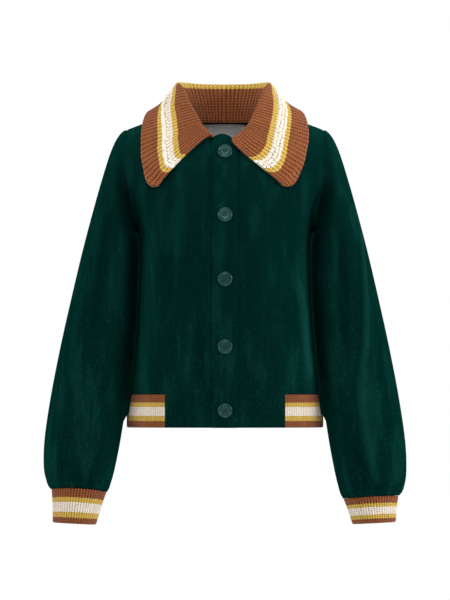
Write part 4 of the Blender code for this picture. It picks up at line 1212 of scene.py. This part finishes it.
def collar_curve(station):
    """Stand and fall at one station: -1 the right front end, 0 the centre back, 1 the left."""
    side = -1.0 if station < 0.0 else 1.0
    reach = 1.0 - abs(station)
    points, normals = neck_edge(side)
    lengths = measured(points)
    place = COLLAR_START + reach * (lengths[-1] - COLLAR_START)
    normal = unit(at_length(normals, lengths, place))
    ahead = at_length(points, lengths, place + 2.0) - at_length(points, lengths, place - 2.0)
    inward = unit(np.cross(normal, ahead)) * side
    start = at_length(points, lengths, place) + SEAM_GAP * 1.3 * inward - PLUSH_WALL * normal
    row = along(COLLAR, np.interp(reach, COLLAR[:, 0], np.arange(len(COLLAR))))
    roll, edge, swell = row[1:4].copy(), row[4:7].copy(), row[7]
    if side > 0.0:
        edge[0] += LEFT_TIP_SHIFT * (1.0 - smooth_step(reach / TIP_STATION))
        edge += np.array(LEFT_CORNER_SHIFT) * (1.0 - smooth_step(reach / CORNER_STATION))
        roll += np.array(LEFT_ROLL_SHIFT) * (1.0 - smooth_step(reach / ROLL_STATION))
    else:
        beside = smooth_step((reach - 0.25) / 0.15) * smooth_step((0.85 - reach) / 0.2)
        roll[0] += RIGHT_ROLL_OUT * beside
        swell *= 1.0 + RIGHT_SWELL * beside
    roll, edge = roll * (side, 1.0, 1.0), edge * (side, 1.0, 1.0)
    covering = smooth_step((reach - SEAM_COVER_FROM) / SEAM_COVER_FADE)
    lowered = np.array([0.0, 0.0, SEAM_COVER_Z - start[2]])
    start += covering * (lowered - SEAM_COVER_IN * normal * (1.0, 1.0, 0.0))
    over = unit(edge - start)
    rise = roll - start
    height = np.linalg.norm(rise)
    upward = 0.5 * rise + min(height, 10.0) * inward
    stand = hermite(start, upward, roll, over * min(0.9 * height, 16.0), np.linspace(0.0, 1.0, 24))
    shares = np.linspace(0.0, 1.0, 40)
    fall = hermite(roll, over * swell, edge, edge - roll, shares)
    bow = (LEFT_BOW if side > 0.0 else RIGHT_BOW) * (1.0 - smooth_step(reach / BOW_STATION))
    aside = unit(np.array([roll[2] - edge[2], 0.0, edge[0] - roll[0]])) * side
    fall += (bow * (4.0 * shares * (1.0 - shares)) ** 0.8 * (1.5 - shares))[:, None] * aside
    return stand, fall, normal


def collar_grid(stations, depths):
    """The ribbed face and its outward directions, as grids of depths by stations."""
    coarse = np.linspace(-1.0, 1.0, 153)
    curves = [collar_curve(station) for station in coarse]
    falls = np.array([curve[1] for curve in curves])
    extra = (PLACKET_GAP + PLUSH_WALL) * (np.abs(falls[..., 0]) < PLACKET_RIGHT_X + COLLAR_WALL)
    falls = pushed_clear(falls, COLLAR_WALL + COLLAR_CLEARANCE + extra)
    lines = np.concatenate([np.array([curve[0] for curve in curves]), falls[:, 1:]], axis=1)
    rows = []
    for line in lines:
        lengths = measured(line)
        rows.append(at_length(line, lengths, depths * lengths[-1]))
    rows = np.array(rows)
    for _ in range(3):
        middle = (rows[:-2] + 2.0 * rows[1:-1] + rows[2:]) / 4.0
        ease = smooth_step((depths - 0.35) / 0.3)[None, :, None]
        rows[1:-1] = rows[1:-1] * (1.0 - ease) + middle * ease
    place = (stations + 1.0) / 2.0 * (len(coarse) - 1)
    face = np.moveaxis(along(rows, place), 0, 1)
    seam = along(np.array([curve[2] for curve in curves]), place)
    outwards = unit(np.cross(np.gradient(face, axis=1), np.gradient(face, axis=0)))
    outwards[0] = -seam
    return face, outwards


COLLAR_RIB_COLUMNS = 7
# the ribs spread towards the outer edge, and are counted between it and the fall's middle
RIB_SPREAD = 1.15
FALL_MIDDLE = 18


def rib_stations():
    """How many ribs the collar has, and the stations of their columns."""
    coarse = np.linspace(-1.0, 1.0, 161)
    falls = np.array([collar_curve(station)[1] for station in coarse])
    lengths = (measured(falls[:, FALL_MIDDLE]) + measured(falls[:, -1])) / 2.0
    ribs = int(round(lengths[-1] / COLLAR_RIB_PITCH / RIB_SPREAD))
    wanted = np.linspace(0.0, lengths[-1], ribs * COLLAR_RIB_COLUMNS + 1)
    return ribs, np.interp(wanted, lengths, coarse)


COLLAR_HALF_LENGTH = 300.0
COLLAR_EDGE = (2.4, 3.2)
collar_ribs, stations = rib_stations()
collar_columns = len(stations)
collar_rows = 101
depths = np.linspace(0.0, 1.0, collar_rows)
face, outwards = collar_grid(stations, depths)
collar_rib, collar_in = np.meshgrid(np.linspace(0.0, collar_ribs, collar_columns),
                                    (1.0 - depths) * COLLAR_DEPTH)
from_end = np.minimum(stations + 1.0, 1.0 - stations)[None, :] * COLLAR_HALF_LENGTH
rounding = rounded_off(np.minimum(collar_in, from_end), *COLLAR_EDGE)
relief = stitched(collar_rib, COLLAR_DEPTH - collar_in, COLLAR_STITCH)
lift = COLLAR_RIB_HEIGHT * relief + rounding
lift *= smooth_step(depths / 0.04)[:, None]
outer = face + lift[..., None] * outwards
inner = (face - (COLLAR_WALL - 0.6) * outwards)[::10]

COLLAR_STRIPES = (
    (0.0, KNIT_BROWN),
    (0.0300, KNIT_YELLOW),
    (0.0380, KNIT_WHITE),
    (0.0560, KNIT_YELLOW),
    (0.0650, KNIT_BROWN),
)
COLLAR_KNIT = yarn("collar_rib_knit", COLLAR_STRIPES, COLLAR_STITCH, 0.0)
from_front = 1.0 - np.abs(stations)
right_end = (stations < 0.0) * (1.0 - smooth_step(from_front / 0.12))
left_middle = smooth_step((from_front - 0.05) / 0.1) * smooth_step((0.4 - from_front) / 0.2)
left_middle *= stations > 0.0
stripe_shift = -BACK_STRIPE_SHIFT * smooth_step((from_front - 0.5) / 0.25)
stripe_shift += RIGHT_STRIPE_SHIFT * right_end - LEFT_STRIPE_SHIFT * left_middle
stripe_in = collar_in + stripe_shift[None, :]
collar = walled("collar_knit", outer, inner, [COLLAR_KNIT, COLLAR_KNIT],
                chart(collar_rib, stripe_in, len(inner)), closed=False)
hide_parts("collar")


# ---------------------------------------------------------------------------------------
# The bobbles are small knots of white yarn that stand up from the white stripe: rows of
# them on the right leaf, and all over the stripe on the left one.
BOBBLE_RADIUS = 3.4
BOBBLE_STRETCH = (1.1, 0.92, 0.85)
BOBBLE_UNEVENNESS = 0.7
BOBBLE_ROWS = {
    # depth from the outer edge, pitch, size
    "right": ((41.4, 7.0, 1.12), (47.6, 7.4, 0.62)),
    "left": ((41.0, 6.6, 0.88), (46.6, 6.8, 0.92), (52.2, 6.6, 0.84)),
}


def settled(holder):
    """The mesh of a helper object once its modifiers have run; the helper is removed."""
    view = bpy.context.evaluated_depsgraph_get()
    mesh = bpy.data.meshes.new_from_object(holder.evaluated_get(view), depsgraph=view)
    bpy.data.objects.remove(holder)
    return mesh


def studded(name, spots, facing, heading, sizes, radius, stretch, unevenness, seed, material):
    """Small rounded bodies, one at each spot, turned to face out and run along."""
    points = meshed(name, spots, [])
    for title, values in (("facing", facing), ("heading", heading)):
        layer = points.attributes.new(title, "FLOAT_VECTOR", "POINT")
        layer.data.foreach_set("vector", np.asarray(values, dtype=np.float32).ravel())
    layer = points.attributes.new("size", "FLOAT", "POINT")
    layer.data.foreach_set("value", np.asarray(sizes, dtype=np.float32))
    holder = linked(name + "_points", points)

    tree = bpy.data.node_groups.new(name, "GeometryNodeTree")
    tree.interface.new_socket("Points", in_out="INPUT", socket_type="NodeSocketGeometry")
    named = {}
    for title, kind, value in (
            ("Radius", "NodeSocketFloat", radius * MM), ("Stretch", "NodeSocketVector", stretch),
            ("Unevenness", "NodeSocketFloat", unevenness * MM), ("Seed", "NodeSocketInt", seed)):
        socket = tree.interface.new_socket(title, in_out="INPUT", socket_type=kind)
        named[socket.identifier] = value
    tree.interface.new_socket("Knots", in_out="OUTPUT", socket_type="NodeSocketGeometry")

    def step(kind, settings, sockets, output=0):
        made = tree.nodes.new(kind)
        for title, value in settings.items():
            setattr(made, title, value)
        for title, value in sockets.items():
            if isinstance(value, bpy.types.NodeSocket):
                tree.links.new(value, made.inputs[title])
            else:
                made.inputs[title].default_value = value
        return made.outputs[output]

    given = tree.nodes.new("NodeGroupInput").outputs
    ball = step("GeometryNodeMeshIcoSphere", {}, {"Radius": given["Radius"], "Subdivisions": 2})
    body = step("GeometryNodeTransform", {}, {"Geometry": ball, "Scale": given["Stretch"]})
    def stored(title, kind="FLOAT_VECTOR"):
        return step("GeometryNodeInputNamedAttribute", {"data_type": kind}, {"Name": title})

    out, run, size = stored("facing"), stored("heading"), stored("size", "FLOAT")
    turn = step("FunctionNodeAxesToRotation", {"primary_axis": "Z", "secondary_axis": "X"},
                {"Primary Axis": out, "Secondary Axis": run})
    vary = step("FunctionNodeRandomValue", {"data_type": "FLOAT"},
                {2: 0.85, 3: 1.15, "Seed": given["Seed"]}, 1)
    scale = step("ShaderNodeMath", {"operation": "MULTIPLY"}, {0: size, 1: vary})
    placed = step("GeometryNodeInstanceOnPoints", {}, {
        "Points": given["Points"], "Instance": body, "Rotation": turn, "Scale": scale})
    real = step("GeometryNodeRealizeInstances", {}, {"Geometry": placed})
    grain = step("ShaderNodeTexNoise", {}, {"Scale": 420.0, "Detail": 1.0})
    swing = step("ShaderNodeMath", {"operation": "SUBTRACT"}, {0: grain, 1: 0.5})
    amount = step("ShaderNodeMath", {"operation": "MULTIPLY"}, {0: swing, 1: given["Unevenness"]})
    push = step("ShaderNodeVectorMath", {"operation": "SCALE"}, {
        0: step("GeometryNodeInputNormal", {}, {}), "Scale": amount})
    bumpy = step("GeometryNodeSetPosition", {}, {"Geometry": real, "Offset": push})
    smooth = step("GeometryNodeSetShadeSmooth", {}, {"Geometry": bumpy})
    coated = step("GeometryNodeSetMaterial", {}, {"Geometry": smooth, "Material": material})
    tree.links.new(coated, tree.nodes.new("NodeGroupOutput").inputs[0])

    modifier = holder.modifiers.new("studs", "NODES")
    modifier.node_group = tree
    for identifier, value in named.items():
        modifier[identifier] = value
    return riding(name, settled(holder))


def wool(name, colour, dark):
    """Soft uneven yarn without ribs."""
    finish = Finish(name, 0.9, **WOOLLY)
    fuzz = finish.noise(finish.place(), 900.0, 2.0)
    return finish.show(finish.mixed(fuzz * 0.8 - 0.1, colour, dark), fuzz, 0.8, 0.0008)


def on_stripe(grid, depth):
    """The collar's points or directions at one depth of its stripes, at every station."""
    place = (1.0 - (depth - stripe_shift) / COLLAR_DEPTH) * (collar_rows - 1)
    row = place.astype(int)
    column = np.arange(collar_columns)
    return grid[row, column] + (place - row)[:, None] * (grid[row + 1, column] - grid[row, column])


spots, facing, heading, sizes = [], [], [], []
for name, half in (("right", stations < 0.0), ("left", stations >= 0.0)):
    for number, (depth, pitch, size) in enumerate(BOBBLE_ROWS[name]):
        line, normal = on_stripe(outer, depth)[half], on_stripe(outwards, depth)[half]
        lengths = measured(line)
        places = np.arange(5.0 + 0.5 * pitch * (number % 2), lengths[-1] - 1.0, pitch)
        swing = np.random.default_rng(40 + number).uniform(-0.9, 0.9, (len(places), 2))
        on_line = at_length(line, lengths, places + swing[:, 0])
        ahead = at_length(line, lengths, places + 1.0) - at_length(line, lengths, places - 1.0)
        out = unit(at_length(normal, lengths, places))
        beside = unit(np.cross(out, ahead))
        spots.append(on_line + (0.2 + 0.7 * size) * out + swing[:, 1:] * beside)
        facing.append(out)
        heading.append(ahead)
        sizes.append(np.full(len(places), size))
spots, facing, heading, sizes = (np.concatenate(k) for k in (spots, facing, heading, sizes))
bobbles = studded("collar_bobbles", spots, facing, heading, sizes, BOBBLE_RADIUS,
                  BOBBLE_STRETCH, BOBBLE_UNEVENNESS, 7,
                  wool("bobble_yarn", KNIT_WHITE, (0.76, 0.67, 0.54, 1.0)))


# ---------------------------------------------------------------------------------------
# The label is a small bare woven tab, its top caught in the neck seam and its two short
# edges stitched down to the inside of the back.
LABEL_LEFT_X = -38.0
LABEL_RIGHT_X = 34.0
LABEL_TOP_Z = -22.8
LABEL_BOTTOM_Z = -66.0
LABEL_WALL = 0.8
LABEL_GAP = 0.5
LABEL_RIPPLE = 0.35


def woven(name):
    """Fine pale weave with a dull shine."""
    finish = Finish(name, 0.45, Sheen_Weight=0.3, Specular_IOR_Level=0.5)
    weave = finish.node("ShaderNodeTexChecker", {}, {"Vector": finish.place(), "Scale": 1500.0}, 1)
    soft = finish.noise(finish.place(), 45.0, 2.0)
    colour = finish.mixed(soft * 0.5, (0.96, 0.96, 0.96, 1.0), (0.86, 0.86, 0.87, 1.0))
    return finish.show(colour, weave, 0.35, 0.0003)


panel, directions, _ = back_half(1.0)
heights = panel[:, 0, 2]
below_neck = PANEL_ROWS < NECK_BACK_ROW + TINY
label_x = np.linspace(LABEL_LEFT_X, LABEL_RIGHT_X, 37)
mirror = np.where(label_x < 0.0, -1.0, 1.0)[:, None] * (1.0, 0.0, 0.0) + (0.0, 1.0, 1.0)
label_points, label_normals = [], []
for height in np.linspace(LABEL_BOTTOM_Z, LABEL_TOP_Z, 23):
    place = np.interp(height, heights[below_neck], np.arange(below_neck.sum()))
    line, turned = along(panel, np.array(place)), along(directions, np.array(place))
    spot = at_length(line, line[:, 0], np.abs(label_x)) * mirror
    out = unit(at_length(turned, line[:, 0], np.abs(label_x)) * mirror)
    ripple = LABEL_RIPPLE * np.sin(label_x / 9.0 + height / 17.0) ** 2
    label_points.append(spot - (PLUSH_WALL + LABEL_GAP + ripple)[:, None] * out)
    label_normals.append(out)
label_points, label_normals = np.array(label_points), np.array(label_normals)
label_patch = (label_points, label_normals, np.zeros(label_points.shape[:2]))
label = cloth("neck_label_woven", [label_patch], LABEL_WALL, [woven("label_weave_bare")] * 2)
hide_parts("neck_label")

spots, facing, heading = [], [], []
for column in (1, len(label_x) - 2):
    for row in range(1, len(label_points) - 3):
        spots.append(label_points[row, column] - (LABEL_WALL + 0.15) * label_normals[row, column])
        facing.append(-label_normals[row, column])
        heading.append(label_points[row + 1, column] - label_points[row - 1, column])
label_stitches = studded(
    "label_stitches", spots, facing, heading, np.ones(len(spots)), 0.32, (2.2, 0.8, 0.7), 0.0, 3,
    wool("label_thread", (0.60, 0.58, 0.55, 1.0), (0.40, 0.39, 0.37, 1.0)))


# ---------------------------------------------------------------------------------------
# Five round buttons of dark glossy plastic, turned with a rounded rim and a dished face,
# drilled with four holes, and sewn on through them with two bars of thread.
# height, and how far each is turned, in degrees
BUTTONS = ((-74.0, 8.0), (-177.0, -20.0), (-282.0, 14.0), (-393.0, 31.0), (-498.0, -6.0))
BUTTON_GAP = 0.15
HOLE_SPACING = 1.8
HOLE_RADIUS = 1.1
THREAD_HEIGHT = 2.45
# radius and height, from the middle of the face round the rim to the middle of the base
BUTTON_PROFILE = (
    (0.0, 2.5), (4.0, 2.55), (7.4, 2.8), (8.3, 2.8), (8.9, 2.3), (9.3, 2.3), (9.8, 3.0),
    (10.4, 3.45), (11.0, 3.5), (11.6, 3.1), (12.0, 2.4), (11.8, 1.6), (11.2, 0.7),
    (10.2, 0.1), (9.0, 0.0), (0.0, 0.0),
)


def button_gloss(name):
    """Dark cloudy plastic with a tinted shine."""
    finish = Finish(name, 0.24, Specular_IOR_Level=0.30, Specular_Tint=(0.55, 1.0, 0.92, 1.0))
    cloud = finish.noise(finish.place(), 90.0, 3.0)
    return finish.show(finish.mixed(cloud, (0.006, 0.026, 0.023, 1.0), (0.014, 0.050, 0.044, 1.0)))


def lathe(profile, segments):
    """Points and faces of a closed turned body about +Z, its first and last point on it."""
    turn = turns_of(segments)
    points = [(0.0, 0.0, profile[0][1])]
    for radius, level in profile[1:-1]:
        points += [(radius * math.cos(t), radius * math.sin(t), level) for t in turn]
    points.append((0.0, 0.0, profile[-1][1]))
    faces = [(0, 1 + k, 1 + (k + 1) % segments) for k in range(segments)]
    for ring in range(len(profile) - 3):
        low, high = 1 + ring * segments, 1 + (ring + 1) * segments
        for k in range(segments):
            beside = (k + 1) % segments
            faces.append((low + k, high + k, high + beside, low + beside))
    last, end = 1 + (len(profile) - 3) * segments, len(points) - 1
    faces += [(last + k, end, last + (k + 1) % segments) for k in range(segments)]
    return np.array(points), faces


def drilled(name, points, faces, drills, material):
    """The mesh of a body with four holes through it."""
    drill = linked("drills", meshed("drills", *drills))
    whole = meshed(name, points, faces)
    whole.materials.append(material)
    body = linked(name + "_whole", whole)
    boolean = body.modifiers.new("holes", "BOOLEAN")
    boolean.operation = "DIFFERENCE"
    boolean.solver = "EXACT"
    boolean.object = drill
    mesh = settled(body)
    bpy.data.objects.remove(drill)
    mesh.shade_smooth()
    mesh.set_sharp_from_angle(angle=math.radians(50.0))
    return mesh


hole_profile = ((0.0, -1.0), (HOLE_RADIUS, -1.0), (HOLE_RADIUS, 6.0), (0.0, 6.0))
hole_points, hole_faces = lathe(hole_profile, 14)
holes = [(HOLE_SPACING * sx, HOLE_SPACING * sy) for sx in (-1.0, 1.0) for sy in (-1.0, 1.0)]
drill_points = np.concatenate([hole_points + (x, y, 0.0) for x, y in holes])
drill_faces = [tuple(v + k * len(hole_points) for v in face[::-1])
               for k in range(4) for face in hole_faces]
round_points, round_faces = lathe(BUTTON_PROFILE, 56)
spots, facing, heading = [], [], []
for number, (height, degrees) in enumerate(BUTTONS, start=1):
    row = float(row_at(height))
    angle = float(angle_at(0.0, row))
    normal = torso_normal(angle, row)
    seat = torso(angle, row) + (PLACKET_GAP + PLUSH_WALL + BUTTON_GAP) * normal
    twist = math.radians(degrees)
    level = unit(np.cross((0.0, 0.0, 1.0), normal))
    upright = np.cross(normal, level)
    across_x = math.cos(twist) * level + math.sin(twist) * upright
    across_y = np.cross(normal, across_x)
    axes = np.stack([across_x, across_y, normal])
    name = f"button_{number}_drilled"
    button = riding(name, drilled(name, round_points @ axes + seat, round_faces,
                                  (drill_points @ axes + seat, drill_faces),
                                  button_gloss(f"button_gloss_{number}")))
    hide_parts(f"button_{number}")
    for side in (-1.0, 1.0):
        for beside in (-0.3, 0.3):
            spots.append(seat + THREAD_HEIGHT * normal + (HOLE_SPACING * side + beside) * across_y)
            facing.append(normal)
            heading.append(across_x)
button_thread = studded(
    "button_thread", spots, facing, heading, np.ones(len(spots)), 0.3, (6.4, 1.0, 1.3), 0.0, 5,
    wool("sewing_thread", (0.004, 0.026, 0.021, 1.0), (0.002, 0.012, 0.010, 1.0)))
